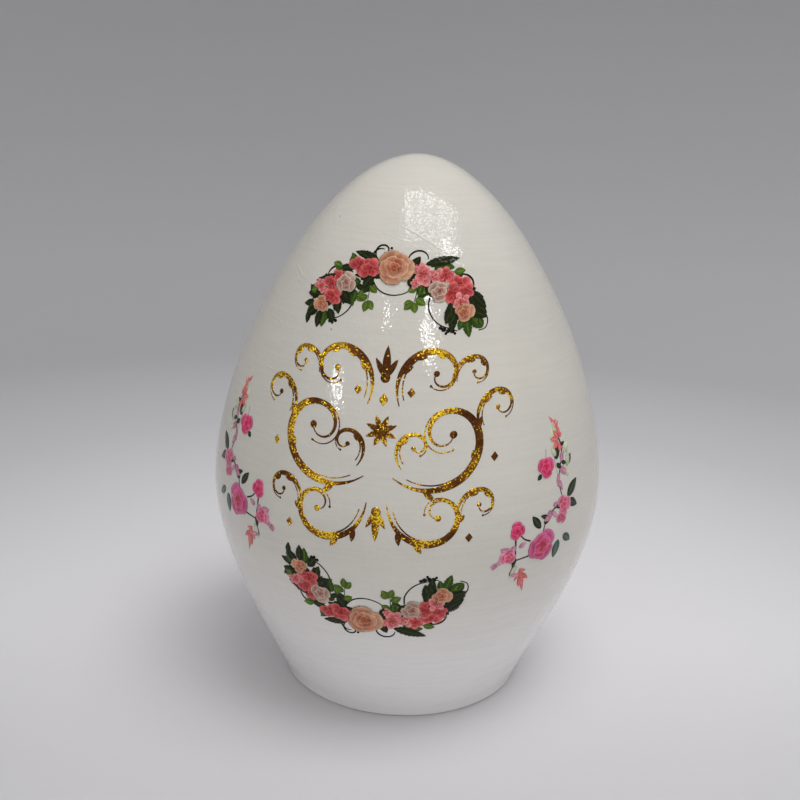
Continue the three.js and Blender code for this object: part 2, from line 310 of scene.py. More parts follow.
def turned_side():
    """The egg's side as a curve in radius and height, from the middle of the foot to the crown."""
    flat = foot_radius - foot_edge
    bend = quarter_round * foot_edge
    # Knots: radius and height, then how far the side reaches back and ahead from there
    knots = [
        (0, 0, 0, 0, flat / 3, 0),
        (flat, 0, -flat / 3, 0, bend, 0),
        (foot_radius, foot_edge, 0, -bend, foot_flare, foot_reach),
        (belly_radius, belly_height, 0, -hip_reach, 0, shoulder_reach),
        (0, egg_height, crown_reach, 0, 0, 0),
    ]
    drawing = bpy.data.curves.new("turned_side", "CURVE")
    drawing.dimensions = "3D"
    drawing.resolution_u = side_steps
    spline = drawing.splines.new("BEZIER")
    spline.bezier_points.add(len(knots) - 1)
    for point, (x, z, back_x, back_z, ahead_x, ahead_z) in zip(spline.bezier_points, knots):
        point.handle_left_type = point.handle_right_type = "FREE"
        point.co = (x, 0, z)
        point.handle_left = (x + back_x, 0, z + back_z)
        point.handle_right = (x + ahead_x, 0, z + ahead_z)
    return linked("turned_side", drawing)


@geometry_tree
def point_on_egg(
    recipe, side_line="Geometry", bearing=0.0, run=0.0, lift=0.0,
    foot_run=0.0, dent_depth=0.3 * MM, dent_size=17 * MM,
):
    """A point over the skin from its bearing, its run along the side and its lift."""
    fed = {"Curves": side_line, "Length": run}
    spot, slope = recipe.get("SampleCurve", fed, ("Position", "Tangent"), mode="LENGTH")
    radius, _, height = recipe.parts(spot)
    slope_out, _, slope_up = recipe.parts(slope)
    sine = recipe.calc("SINE", bearing)
    behind = recipe.calc("COSINE", bearing) * -1.0
    base = recipe.vector(radius, radius, height) * recipe.vector(sine, behind, 1.0)
    normal = recipe.vector(slope_up, slope_up, slope_out) * recipe.vector(sine, behind, -1.0)
    dents = recipe.noise(base, 1.0 / dent_size, 2.0, 0.55)
    fade = recipe.ease(run - foot_run, 0.0, foot_smooth)
    return base + normal * (lift - dents * dent_depth * fade)


@geometry_tree
def painted_skin(
    recipe, side_line="Object", faces_around=336, faces_along=270,
    foot_run=0.0, foot_edge=0.0, paint="Material",
):
    """The whole skin as one closed grid, with rows drawn together at the foot's edge."""
    side = recipe.shape_of(side_line)
    grid = recipe.get("MeshGrid", (math.tau, 1.0, faces_around + 1.0, faces_along + 1.0))
    bearing, height, _ = recipe.here()
    share = height + 0.5
    rest = recipe.get("CurveLength", (side,)) - foot_run
    stretches = [(0.0, 0.05, foot_run - foot_edge), (0.05, 0.08, foot_edge), (0.08, 1.0, rest)]
    flat, edge, up = [recipe.ease(share, low, high, 0.0, reach, "LINEAR") for low, high, reach in stretches]
    run = flat + edge + up
    marked = recipe.store(grid, "Rise", run - foot_run)
    spot = recipe.use(point_on_egg, side_line=side, bearing=bearing, run=run, foot_run=foot_run)
    return recipe.finished(recipe.merged(recipe.move(marked, spot), 0.002 * MM), paint)


@shader_tree
def brushed_varnish(
    recipe, streak_spacing=0.7 * MM, streak_length=14 * MM, streak_height=0.006 * MM,
    band_height=0.02 * MM, peel_size=0.78 * MM, peel_height=0.05 * MM,
    ripple_size=2.4 * MM, ripple_height=0.05 * MM,
):
    """The varnish's height and its level brush streaks, over broader bands and a fine orange peel."""
    place = recipe.on_object()
    x, y, _ = recipe.parts(place)
    across_x = x / streak_length
    across_y = y / streak_length
    up = recipe.rise() / streak_spacing
    streaks = recipe.noise(recipe.vector(across_x, across_y, up), 1.0, 2.5)
    bands = recipe.noise(recipe.vector(across_x, across_y, up * 0.16), 0.7)
    peel = recipe.noise(place, 1.0 / peel_size)
    ripple = recipe.noise(place, 1.0 / ripple_size)
    height = streaks * streak_height + bands * band_height + peel * peel_height + ripple * ripple_height
    return height, streaks


@shader_tree
def place_on_egg(recipe):
    """Where a point lies on the skin, in millimetres round from the front and up from the foot."""
    x, y, _ = recipe.parts(recipe.on_object())
    bearing = recipe.calc("ARCTAN2", x, y * -1.0)
    radius = recipe.calc("SQRT", x * x + y * y)
    around = (bearing - front_bearing) * radius * (1 / MM)
    return recipe.vector(around, recipe.rise() * (1 / MM), 0.0)


@shader_tree
def crease_in_film(
    recipe, place="Vector", start=(0.0, 0.0, 0.0), stop=(1.0, 0.0, 0.0), width=0.5, height=0.02
):
    """One raised crease between two places, thinning out to its ends and wandering a little."""
    wander = recipe.get("TexNoise", {"Vector": place, "Scale": 0.35}, "Color")
    reach = stop - start
    gone = place + (wander - (0.5, 0.5, 0.5)) - start
    share = recipe.dot(gone, reach) / recipe.dot(reach, reach)
    held = recipe.get("Clamp", (share, 0.0, 1.0))
    aside = gone - reach * held
    x, y, _ = recipe.parts(aside)
    square = recipe.dot(aside, recipe.vector(x, y, 0.0))
    fall = recipe.calc("EXPONENT", square / (width * width * -1.0))
    return fall * (held * (1.0 - held)) * 4.0 * height * MM


# Creases in the varnished film: from and to in millimetres round and up, width, height
film_creases = [
    ((-27.5, 103.2), (-20.5, 99.6), 0.22, 0.05),
    ((-26.5, 101.4), (-21.5, 98.4), 0.18, 0.035),
    ((-30.5, 91.0), (-25.0, 89.2), 0.2, 0.04),
    ((-30.0, 81.0), (-26.0, 80.2), 0.2, 0.04),
    ((-0.5, 114.4), (8.5, 109.0), 0.2, 0.045),
    ((2.0, 118.5), (10.0, 116.2), 0.18, 0.035),
    ((-1.5, 111.4), (2.5, 110.4), 0.18, 0.03),
    ((15.5, 113.2), (22.0, 113.8), 0.18, 0.025),
    ((25.0, 72.4), (31.0, 71.0), 0.18, 0.035),
    ((36.5, 90.6), (42.0, 90.2), 0.2, 0.035),
]


@finish
def painted_wood(recipe):
    """White paint with faint level streaks, a warm and a cool cast, a few specks of dust, and painted
    light: whiter low down, darker round the belly.
    """
    place = recipe.on_object()
    height, streaks = recipe.use(brushed_varnish)
    spot = recipe.use(place_on_egg)
    for start, stop, width, tall in film_creases:
        ends = {"start": (*start, 0), "stop": (*stop, 0)}
        height = height + recipe.use(crease_in_film, place=spot, **ends, width=width, height=tall)
    cast = recipe.noise(place, 42.0, 3.0)
    up = recipe.parts(spot)[1]
    white = recipe.mix(recipe.ease(cast, 0.35, 0.65), srgb(0.876, 0.863, 0.832), srgb(0.891, 0.876, 0.838))
    # Painted light: the paint turns a lighter, more neutral white towards the foot, standing in for light
    # bounced up from the paper.
    white = recipe.mix(recipe.ease(up, 50.0, 15.0), white, srgb(0.9, 0.894, 0.892))
    brushed = recipe.lit(white, recipe.ease(streaks, 0.3, 0.7, 0.955, 1.0, "LINEAR"))
    # Painted light and shade: the white is made lighter near the foot, darker from the belly up, and a
    # little less dark at the crown.
    coats = recipe.ease(up, 8.0, 52.0, 1.11, 0.9) + recipe.ease(up, 92.0, 118.0, 0.0, 0.05)
    brushed = recipe.lit(brushed, coats)
    fed = {"Vector": place, "Scale": 190.0}
    away, own = recipe.get("TexVoronoi", fed, ("Distance", "Color"))
    rare = recipe.calc("GREATER_THAN", recipe.parts(own)[0], 0.93)
    dust = recipe.ease(away, 0.03, 0.06, 1.0, 0.0) * rare * 0.5
    colour = recipe.mix(dust, brushed, srgb(0.42, 0.38, 0.34))
    return {"Base Color": colour, "Roughness": 0.05, "IOR": 1.5, "Normal": recipe.bump(height)}


side_line = turned_side()
edge_run = foot_edge * math.pi / 2
foot_run = foot_radius - foot_edge + edge_run
side_length = side_line.data.splines[0].calc_length(resolution=side_steps) - foot_run
skin = {"side_line": side_line, "foot_run": foot_run}
egg = made("varnished_egg", painted_skin, **skin, foot_edge=edge_run, paint=painted_wood)
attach(egg, "root")
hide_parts("egg_body")

# The printed garlands
# Two prints of one arch of roses, leaves and curled tendrils, cut out on thin film, wetted and
# slid onto the paint. The upper one arches over the middle of the front, and the lower hangs.

garland_scale = 0.999
upper_garland_drop = 43.8 * MM
lower_garland_rise = 39.9 * MM
lower_garland_shift = -0.9 * MM
lower_garland_turn = math.radians(-6.5)
sheet_depth = 0.06 * MM
line_lift = 0.03 * MM
curl_lift = 0.045 * MM
leaf_lift = 0.05 * MM
bloom_lift = 0.08 * MM
bloom_step = 0.035 * MM


def joined(recipe, pieces):
    whole = recipe.add("JoinGeometry")
    for piece in pieces:
        recipe.tree.links.new(piece.socket, whole.inputs[0])
    return Value(recipe, whole.outputs[0])


def chance(recipe, seed, low=None, high=None):
    fed = {2: low, 3: high, "Seed": seed}
    return recipe.get("RandomValue", fed, 1, data_type="FLOAT")


def heading(recipe, angle):
    """A turn about the sheet's own upright axis."""
    return recipe.get("EulerToRotation", (recipe.vector(0.0, 0.0, angle),))


def copied(recipe, points, motif, angle, size):
    fed = {"Points": points, "Instance": motif, "Rotation": heading(recipe, angle), "Scale": size}
    return recipe.get("InstanceOnPoints", fed)


def inked(recipe, geometry, ink):
    return recipe.store(geometry, "Ink", ink, data="FLOAT_COLOR")


@geometry_tree
def closed_plate(recipe, sheet="Geometry", depth=sheet_depth):
    """A flat sheet given an underside at an even depth, closed all round."""
    flipped = recipe.get("FlipFaces", (sheet,))
    fed = {"Mesh": flipped, "Offset Scale": 0.0, "Individual": False}
    under, top = recipe.get("ExtrudeMesh", fed, ("Mesh", "Top"), mode="FACES")
    x, y, _ = recipe.here()
    sunk = recipe.move(under, recipe.vector(x, y, depth * -1.0), top)
    return recipe.merged(joined(recipe, (sheet, sunk)), 1e-7)


@geometry_tree
def blade(
    recipe, rows=8, columns=6, crowding=0.0, root=0.8, tip=1.0, teeth=0.0, tooth_depth=0.0, lift=0.0
):
    """A petal or a leaf one unit long and two wide, from a root at the origin along X."""
    grid = recipe.get("MeshGrid", (1.0, 2.0, rows + 1.0, columns + 1.0))
    along, across, _ = recipe.here()
    along = along + 0.5
    along = along + along * (1.0 - along) * crowding
    grid = recipe.store(recipe.store(grid, "Along", along), "Across", across)
    along = recipe.read("Along")
    rest = recipe.calc("MAXIMUM", 1.0 - along, 0.0)
    peak = root / (root + tip)
    widest = peak**root * (1.0 - peak) ** tip
    notch = recipe.calc("FRACT", along * teeth)
    width = along**root * rest**tip / widest * (1.0 - notch * tooth_depth)
    shaped = recipe.move(grid, recipe.vector(along, recipe.read("Across") * width, lift))
    return recipe.use(closed_plate, sheet=recipe.merged(shaped, 1e-6))


@geometry_tree
def flower_head(
    recipe, petals=5, turn=2.4, spread=0.5, inner_size=0.3, root=1.0, tip=0.4, stack=0.02 * MM,
    waver=0.15, rim_ink=srgb(1, 1, 1), body_ink=srgb(1, 1, 1), heart_ink=srgb(1, 1, 1),
    heart_pull=1.0, rim_from=0.7, sun=0.12, cream=0.0, crevice=0.5, seed=1,
):
    """A bloom of unit radius: petals wound in from the rim, each inked by its place in the head."""
    petal = recipe.use(blade, rows=7, columns=6, crowding=1.0, root=root, tip=tip)
    reach, aside, thick = recipe.here()
    fan = aside * spread
    fan_x = reach * recipe.calc("COSINE", fan)
    fan_y = reach * recipe.calc("SINE", fan)
    petal = recipe.move(petal, recipe.vector(fan_x, fan_y, thick))
    index = recipe.get("InputIndex")
    share = index / recipe.calc("MAXIMUM", petals - 1.0, 1.0)
    fed = {"Count": petals, "Position": recipe.vector(0.0, 0.0, share * stack)}
    own = chance(recipe, seed)
    uneven = own - 0.5
    angle = index * turn + uneven * waver
    size = 0.95 - share * (1.0 - inner_size) + uneven * -0.14
    spots = recipe.get("Points", fed)
    head = copied(recipe, spots, petal, angle, recipe.vector(size, size, 1.0))
    head = recipe.store(recipe.store(head, "Share", share, "INSTANCE"), "Chance", own, "INSTANCE")
    head = recipe.real(head)
    along = recipe.read("Along")
    aside = recipe.calc("ABSOLUTE", recipe.read("Across"))
    deep = recipe.read("Share") ** heart_pull
    ink = recipe.lit(recipe.mix(deep, body_ink, heart_ink), recipe.ease(along, 0.4, 0.95, crevice, 1.0))
    rim = recipe.ease(recipe.calc("MAXIMUM", along, aside * 0.96), rim_from, 1.0)
    ink = recipe.mix(rim * (1.0 - deep * 0.5), ink, rim_ink)
    x, y, _ = recipe.here()
    toward = x - y
    ink = recipe.mix(recipe.ease(toward, 0.1, 1.3) * cream, ink, rim_ink)
    return inked(recipe, head, recipe.lit(ink, 1.0 + toward * sun + (recipe.read("Chance") - 0.5) * 0.3))


@geometry_tree
def printed_leaf(
    recipe, root=0.75, tip=0.95, teeth=7.0, tooth_depth=0.22,
    leaf_ink=srgb(0, 0, 0), rib_ink=srgb(1, 1, 1), veins=6.0,
):
    """A leaf of unit length and half width, saw-edged, with a paler rib and side veins."""
    shape = {"root": root, "tip": tip, "teeth": teeth, "tooth_depth": tooth_depth}
    leaf = recipe.use(blade, rows=28, columns=6, **shape)
    along = recipe.read("Along")
    aside = recipe.calc("ABSOLUTE", recipe.read("Across"))
    rib = recipe.ease(aside, 0.0, 0.3, 1.0, 0.0)
    wave = recipe.calc("FRACT", (along - aside * 0.22) * veins)
    vein = recipe.calc("LESS_THAN", wave, 0.3) * 0.35
    ink = recipe.mix(recipe.calc("MAXIMUM", rib, vein) * 0.8, leaf_ink, rib_ink)
    return inked(recipe, leaf, recipe.lit(ink, recipe.ease(along, 0.0, 0.5, 0.75, 1.0)))


@geometry_tree
def set_out(recipe, places="Geometry", motif="Object", shade_spread=0.2, seed=1):
    """Copies of one motif on marked places, each with its heading, size and a shade of its own."""
    size = recipe.read("Size", "FLOAT_VECTOR")
    copies = copied(recipe, places, recipe.shape_of(motif), recipe.read("Heading"), size)
    real = recipe.real(recipe.store(copies, "Own shade", chance(recipe, seed), "INSTANCE"))
    light = (recipe.read("Own shade") - 0.5) * shade_spread + 1.0
    return inked(recipe, real, recipe.lit(recipe.read("Ink", "FLOAT_COLOR"), light))


def marked_places(name, rows):
    """Marked places from rows of x, y, lift, heading in degrees, length and width."""
    mesh = bpy.data.meshes.new(name)
    mesh.from_pydata([(x * MM, y * MM, lift) for x, y, lift, *_ in rows], [], [])
    headings = mesh.attributes.new("Heading", "FLOAT", "POINT").data
    sizes = mesh.attributes.new("Size", "FLOAT_VECTOR", "POINT").data
    for i, (_, _, _, turn, length, width) in enumerate(rows):
        headings[i].value = math.radians(turn)
        sizes[i].vector = (length * MM, width * MM, 1)
    return mesh


def set_motif(name, tree, placed, shade_spread=0.2, seed=1, **settings):
    """One kind of motif, made once and set out on its places."""
    motif = made(name + "_motif", tree, **settings)
    base = marked_places(name, placed)
    copies = made(name, set_out, base, motif=motif, shade_spread=shade_spread, seed=seed)
    bpy.data.objects.remove(motif)
    return copies


def leaf_inks(body, rib):
    return {"leaf_ink": srgb(*body), "rib_ink": srgb(*rib)}


def leaves(name, rows, ink, teeth, seed, step=0.004 * MM, shade_spread=0.2, **shape):
    """Leaves from rows of base x and y, heading, length and half width."""
    placed = [(x, y, leaf_lift + step * i, *rest) for i, (x, y, *rest) in enumerate(rows)]
    return set_motif(name, printed_leaf, placed, shade_spread, seed, **ink, teeth=teeth, **shape)


def blooms(name, rows, settings, seed):
    """Blooms from rows of middle x and y, radius, turn and layer."""
    placed = []
    for x, y, radius, turn, layer in rows:
        placed.append((x, y, bloom_lift + layer * bloom_step, turn, radius, radius))
    return set_motif(name, flower_head, placed, 0.12, seed, **settings)


def flat_band(recipe, curve, half, lift, corners):
    """A closed flat band along a curve, with its half width."""
    upright = recipe.get("SetCurveNormal", (curve,), mode="Z_UP")
    edge = recipe.get("CurvePrimitiveLine", ((-1, 0, 0), (1, 0, 0)))
    strip = recipe.get("ResampleCurve", {"Curve": edge, "Count": corners})
    fed = {"Curve": upright, "Profile Curve": strip, "Scale": half}
    band = recipe.get("CurveToMesh", fed)
    x, y, _ = recipe.here()
    return recipe.use(closed_plate, sheet=recipe.move(band, recipe.vector(x, y, lift)))


def flat_disc(recipe, corners, radius, middle=(0.0, 0.0, 0.0)):
    fed = {"Vertices": corners, "Radius": radius}
    disc = recipe.get("MeshCircle", fed, fill_type="NGON")
    placed = recipe.get("Transform", {"Geometry": disc, "Translation": middle})
    return recipe.use(closed_plate, sheet=placed)


@geometry_tree
def inked_line(recipe, line="Object", step=0.4 * MM, lift=0.0, ink=srgb(0, 0, 0)):
    """Printed lines: a flat band along each curve, as wide as the curve's own radius says."""
    fed = {"Curve": recipe.shape_of(line), "Length": step}
    even = recipe.get("ResampleCurve", fed, mode="LENGTH")
    return inked(recipe, flat_band(recipe, even, recipe.read("radius"), lift, 3), ink)


def drawn_lines(name, lines):
    """A curve object from lines of points with a half width each, in millimetres."""
    drawing = bpy.data.curves.new(name, "CURVE")
    drawing.dimensions = "3D"
    for points in lines:
        spline = drawing.splines.new("POLY")
        spline.points.add(len(points) - 1)
        for point, (x, y, half) in zip(spline.points, points):
            point.co = (x * MM, y * MM, 0, 1)
            point.radius = half * MM
    return linked(name, drawing)


def lines_printed(name, lines, ink, lift=line_lift):
    line = drawn_lines(name + "_line", lines)
    printed = made(name, inked_line, line=line, ink=ink, lift=lift)
    bpy.data.objects.remove(line)
    return printed


def stems(name, rows, ink, half, tip=0.5, lift=line_lift):
    return lines_printed(name, [stem_line(points, half, tip) for points in rows], ink, lift)


def stem_line(points, half, tip):
    """A smooth stem through a few points, thinning to its end."""
    steps = 8
    line = []
    ends = [points[0], *points, points[-1]]
    for before, start, stop, after in zip(ends, ends[1:], ends[2:], ends[3:]):
        for i in range(steps):
            t = i / steps
            spot = []
            for a, b, c, d in zip(before, start, stop, after):
                squared = 2 * a - 5 * b + 4 * c - d
                cubed = 3 * b - a - 3 * c + d
                spot.append(0.5 * (2 * b + (c - a) * t + squared * t**2 + cubed * t**3))
            line.append(spot)
    line.append(list(points[-1]))
    last = len(line) - 1
    return [(x, y, half * (1 - (1 - tip) * i / last)) for i, (x, y) in enumerate(line)]


def tendril(centre_x, centre_y, start, turn, outer, inner):
    """A curl that winds in from an outer to an inner radius, with a swell near its start."""
    widest, tip, swell_at = 0.2, 0.09, 0.4
    steps = max(12, round(abs(turn) / 8))
    line = []
    for i in range(steps + 1):
        share = i / steps
        angle = math.radians(start + turn * share)
        radius = inner + (outer - inner) * (1 - share) ** 2.3
        rise = share / swell_at if share < swell_at else 1 - (share - swell_at) / (1 - swell_at)
        half = tip + (widest - tip) * math.sin(rise * math.pi / 2) ** 1.3
        line.append((centre_x + radius * math.cos(angle), centre_y + radius * math.sin(angle), half))
    return line


@geometry_tree
def lay_on_egg(
    recipe, flat_parts="Collection", side_line="Object", bearing=0.0, rise=0.0, scale=1.0,
    turn=0.0, mirror=(1.0, 1.0, 1.0), foot_run=0.0, paint="Material",
):
    """Flat parts bent onto the skin: x runs round it and y up its side, at true length."""
    parts = recipe.real(recipe.get("CollectionInfo", {"Collection": flat_parts}))
    side = recipe.shape_of(side_line)
    flip_x, flip_y, _ = recipe.parts(mirror)
    inside_out = recipe.calc("LESS_THAN", flip_x * flip_y, 0.0)
    marked = recipe.get("FlipFaces", (parts, inside_out))
    x, y, lift = recipe.here()
    across = x * flip_x * scale
    tall = y * flip_y * scale
    cosine = recipe.calc("COSINE", turn)
    sine = recipe.calc("SINE", turn)
    rise = rise + (across * sine + tall * cosine)
    fed = {"Curves": side, "Length": foot_run + rise}
    spot = recipe.get("SampleCurve", fed, "Position", mode="LENGTH")
    bearing = bearing + (across * cosine - tall * sine) / recipe.parts(spot)[0]
    # The places are kept before the move, because they are read from the flat sheet
    for name, value in (("Rise", rise), ("Bearing", bearing), ("Lift", lift)):
        marked = recipe.store(marked, name, value)
    spot = recipe.use(
        point_on_egg, side_line=side, bearing=recipe.read("Bearing"), lift=recipe.read("Lift"),
        run=recipe.read("Rise") + foot_run, foot_run=foot_run,
    )
    return recipe.finished(recipe.move(marked, spot), paint)


def laid_on_egg(name, parts, paint, rise, around=0.0, **placed):
    """Flat parts laid on the egg at a place round its belly and up its side."""
    sheet = bpy.data.collections.new(name + "_sheet")
    bpy.context.scene.collection.children.link(sheet)
    for part in parts:
        sheet.objects.link(part)
    placed["bearing"] = front_bearing + around / belly_radius
    piece = made(name, lay_on_egg, flat_parts=sheet, rise=rise, paint=paint, **skin, **placed)
    bpy.data.collections.remove(sheet)
    return piece


def clear(parts):
    for part in parts:
        bpy.data.objects.remove(part)


@finish
def printed_paper(recipe):
    """Ink on film under the varnish: each motif's own ink with a fine print grain."""
    place = recipe.on_object()
    ink = recipe.get("Attribute", out="Color", attribute_name="Ink")
    grain = recipe.ease(recipe.noise(place, 4200.0, 2.0), 0.3, 0.7, -0.1, 0.1)
    cloud = recipe.ease(recipe.noise(place, 900.0, 2.0), 0.3, 0.7, 0.86, 1.14)
    colour = recipe.lit(ink, grain + cloud)
    normal = recipe.bump(recipe.use(brushed_varnish)[0])
    return {"Base Color": colour, "Roughness": 0.06, "Specular IOR Level": 0.16, "Normal": normal}


dark_green = leaf_inks((0.1, 0.12, 0.04), (0.2, 0.25, 0.1))
middle_green = leaf_inks((0.16, 0.27, 0.06), (0.35, 0.45, 0.17))
light_green = leaf_inks((0.29, 0.39, 0.11), (0.45, 0.54, 0.22))
curl_ink = srgb(0.07, 0.06, 0.05)

garland_vine = [
    (-17, -1.6), (-15.4, 1.6), (-12.6, 3.6), (-9.4, 5.6), (-5.6, 7.2), (-0.3, 8),
    (5, 7), (8.6, 5.4), (12, 3.8), (14.4, 1.6), (15, -1.2),
]
# Garland leaves: base x and y, heading, length, half width
under_leaves = [
    (-4, 10.2, 168, 5.2, 1.0), (-5, 9.6, 150, 3.0, 0.8), (-5, 7.4, 205, 3.4, 1.1),
    (-4.4, 6.6, 232, 3.6, 1.0), (-8.4, 4.8, 250, 3.6, 1.1), (-8.6, 5.2, 226, 4.4, 1.1),
    (-11.5, 2.4, 262, 4.2, 1.0), (-12, 1.6, 284, 4.0, 1.1), (-10.6, 2.4, 310, 3.2, 0.9),
    (-12.6, 5.9, 200, 5.4, 0.6), (-15.4, -2, 262, 3.6, 1.0), (-16.2, -1.2, 222, 3.4, 1.1),
    (-16.4, 1.4, 186, 3.0, 1.0), (-13.4, -1.4, 300, 3.0, 1.0), (-9, 3, 280, 3.0, 1.0),
    (5.6, 9.4, 12, 7.0, 1.15), (3, 8.6, 60, 2.8, 0.9), (2.6, 6.2, 300, 2.4, 0.8),
    (7.4, 5.4, 250, 2.8, 1.0), (11.8, 1.4, 256, 4.6, 1.1), (13.4, 3.2, 350, 5.0, 1.2),
    (15, 2.4, 322, 5.4, 1.1), (16, -0.4, 340, 3.6, 1.1), (12.4, -0.6, 262, 4.2, 0.9),
    (11.6, 1.8, 270, 3.4, 1.0), (15.6, 3.2, 318, 4.6, 1.1), (12.6, -1, 240, 2.6, 0.9),
]
green_leaves = [
    (-9, 7.2, 104, 3.2, 0.9), (-11.2, 6, 140, 2.6, 0.9), (-16.8, -0.6, 236, 3.8, 1.1),
    (-14.2, -1.6, 262, 3.8, 1.0), (-16.4, 1.8, 150, 2.4, 0.8), (7.4, 8.2, 24, 3.2, 1.1),
    (8.8, 9.2, 350, 2.8, 0.9), (6.8, 8.8, 60, 1.8, 0.8), (14.8, -2, 284, 3.8, 1.0),
    (15.8, -1.6, 318, 3.4, 1.2), (14.4, -1.4, 250, 3.0, 0.9), (6.2, 5.4, 292, 3.2, 0.9),
    (5.2, 5, 262, 2.4, 0.8), (-9.4, 2.6, 296, 3.2, 0.9), (-7.6, 3, 254, 3.0, 0.8),
    (16.4, 1.6, 352, 2.4, 0.8), (17.4, -1.8, 300, 2.2, 0.8),
]
light_leaves = [
    (-11.6, 7.7, 166, 2.4, 0.8), (-4.9, 4.2, 318, 2.0, 0.75), (-5.2, 2.2, 210, 2.5, 0.75),
    (-5.2, 2.0, 190, 2.2, 0.6), (-5.0, 1.2, 300, 2.2, 0.75), (-5.1, 1.1, 256, 2.4, 0.75),
    (-6.4, 3.2, 250, 1.6, 0.6), (4.4, 4.4, 206, 2.0, 0.75), (4.6, 4.2, 332, 2.0, 0.8),
    (4.4, 2.2, 324, 2.4, 0.8), (3.9, 1.5, 228, 2.4, 0.8), (4.1, 1.3, 280, 2.2, 0.75),
    (3.6, 1.6, 206, 1.6, 0.5), (11.5, 7.8, 8, 2.4, 0.8), (-17.2, 2.2, 200, 1.6, 0.7),
    (16.6, -2.2, 338, 2.0, 0.7),
]
sprig_stems = [
    [(-5.6, 6.6), (-5.0, 3.8), (-5.1, 1.0)],
    [(4.9, 6), (4.5, 3.6), (4.1, 1.2)],
    [(-9.6, 7.8), (-10.6, 8.1), (-11.8, 7.8)],
    [(10, 7), (10.8, 7.8), (11.8, 7.9)],
]
# Curls: centre x and y, start, turn, outer and inner radius
garland_curls = [
    (-2.8, 12.1, 262, -330, 2.7, 0.7), (4.3, 10.5, 196, -196, 2.3, 1.7),
    (-12.4, 5.4, 190, -170, 2.6, 2.2), (13.6, 4.8, 130, -170, 2.7, 2.3),
    (-3.4, 11.0, 210, -140, 1.9, 1.4),
]
long_curls = [
    [(-4.4, 5.2), (-3.5, 3.9), (-2.2, 3.0), (-0.4, 2.6), (1.5, 2.9), (2.8, 3.6), (3.8, 4.8)],
    [(-8.1, 2.0), (-8.3, 0.2), (-9.3, -1.5), (-11.2, -2.9), (-13.6, -3.3)],
    [(7.1, 2.4), (7.0, 0.4), (7.9, -1.6), (9.4, -3.0), (11.4, -3.8), (13.2, -4.3)],
    [(16.4, -0.4), (18.6, -0.8), (19.5, -2.2), (19.1, -3.8), (17.6, -4.3)],
    [(-16.6, 0.6), (-18.0, 0.0), (-18.6, -1.4), (-18.0, -2.8)],
    [(-17.8, 3.9), (-15.6, 5.0), (-12.6, 6.1)],
]
curl_berries = [
    (-1.5, 12.6, 0.28), (-1.3, 12.0, 0.24), (-2.2, 11.2, 0.5), (-12.2, -3.4, 0.42),
    (-11.5, -3.6, 0.36), (-12.8, -3.8, 0.4), (-13.5, -3.2, 0.36), (-12.2, -4.1, 0.3),
    (10.4, -4.0, 0.5), (11.3, -4.3, 0.42), (12.2, -4.3, 0.46), (9.7, -3.7, 0.36),
    (10.9, -4.8, 0.3), (12.7, -4.8, 0.28), (16.1, 4.2, 0.34),
    (16.3, 3.5, 0.26), (-8.4, 1.2, 0.3), (-9.6, 0.6, 0.5), (-10.9, 0.5, 0.44),
]
# Blooms: middle x and y, radius, turn, layer
great_roses = [(-0.4, 8.4, 4.1, 0, 4)]
small_roses = [(-15.4, -0.7, 2.05, 200, 3), (14.3, -0.6, 2.35, 20, 4)]
pale_roses = [(-10.1, 4.3, 2.6, 80, 3), (8.9, 3.7, 2.7, 20, 2)]
coral_blossoms = [
    (-7.5, 8.2, 3.0, 30, 1), (-5.4, 7.6, 2.8, 75, 2), (-12.2, 5.4, 1.8, 140, 0),
    (-13.6, 3.7, 2.4, 15, 1), (-13.0, 1.1, 2.6, 50, 2), (9.8, 6.9, 2.1, 100, 1),
    (12.6, 5.3, 2.7, 25, 1), (11.4, 3.3, 2.9, 160, 2), (14.2, 3.6, 2.2, 60, 2),
]
pink_carnations = [
    (5.3, 7.2, 3.1, 10, 2), (7.6, 6.8, 2.2, 60, 1), (-16, 3, 2.3, 40, 0),
    (4.1, 8.9, 1.7, 0, 0), (4.3, 5.5, 1.7, 100, 1), (13.4, 1.4, 2.3, 120, 3),
]


def inks(rim, body, heart):
    return {"rim_ink": srgb(*rim), "body_ink": srgb(*body), "heart_ink": srgb(*heart)}


great_rose = {
    "petals": 21, "turn": 2.4, "spread": 1.0, "inner_size": 0.14, "root": 0.2, "tip": 0.3,
    "rim_from": 0.72, "heart_pull": 1.2, "stack": 0.09 * MM, "sun": 0.06, "cream": 0.55,
    "crevice": 0.6, "waver": 0.9, **inks((0.83, 0.67, 0.55), (0.78, 0.49, 0.37), (0.72, 0.32, 0.2)),
}
small_rose = {**great_rose, "petals": 12, "stack": 0.05 * MM}
pale_rose = {
    **small_rose, "petals": 13, "heart_pull": 1.8,
    **inks((0.81, 0.73, 0.67), (0.7, 0.55, 0.49), (0.62, 0.29, 0.24)),
}
coral_blossom = {
    "petals": 8, "turn": 2.63, "spread": 0.86, "inner_size": 0.5, "root": 0.14, "tip": 0.56,
    "rim_from": 0.55, "heart_pull": 1.6, "stack": 0.04 * MM, "sun": 0.05, "cream": 0.25,
    "crevice": 0.72, "waver": 0.7, **inks((0.86, 0.46, 0.45), (0.78, 0.25, 0.27), (0.62, 0.13, 0.13)),
}
pink_carnation = {
    **coral_blossom, "petals": 14, "spread": 0.58, "inner_size": 0.32, "tip": 0.5,
    **inks((0.9, 0.6, 0.6), (0.85, 0.42, 0.43), (0.76, 0.22, 0.2)),
}


@geometry_tree
def round_dot(recipe, corners=14, ink=srgb(0, 0, 0)):
    """A flat dot of unit radius."""
    return inked(recipe, flat_disc(recipe, corners, 1.0), ink)


def dots(name, rows, ink, lift, corners=14):
    """Round dots from rows of x, y and radius."""
    placed = [(x, y, lift, 0, radius, radius) for x, y, radius in rows]
    return set_motif(name, round_dot, placed, 0.1, ink=ink, corners=corners)


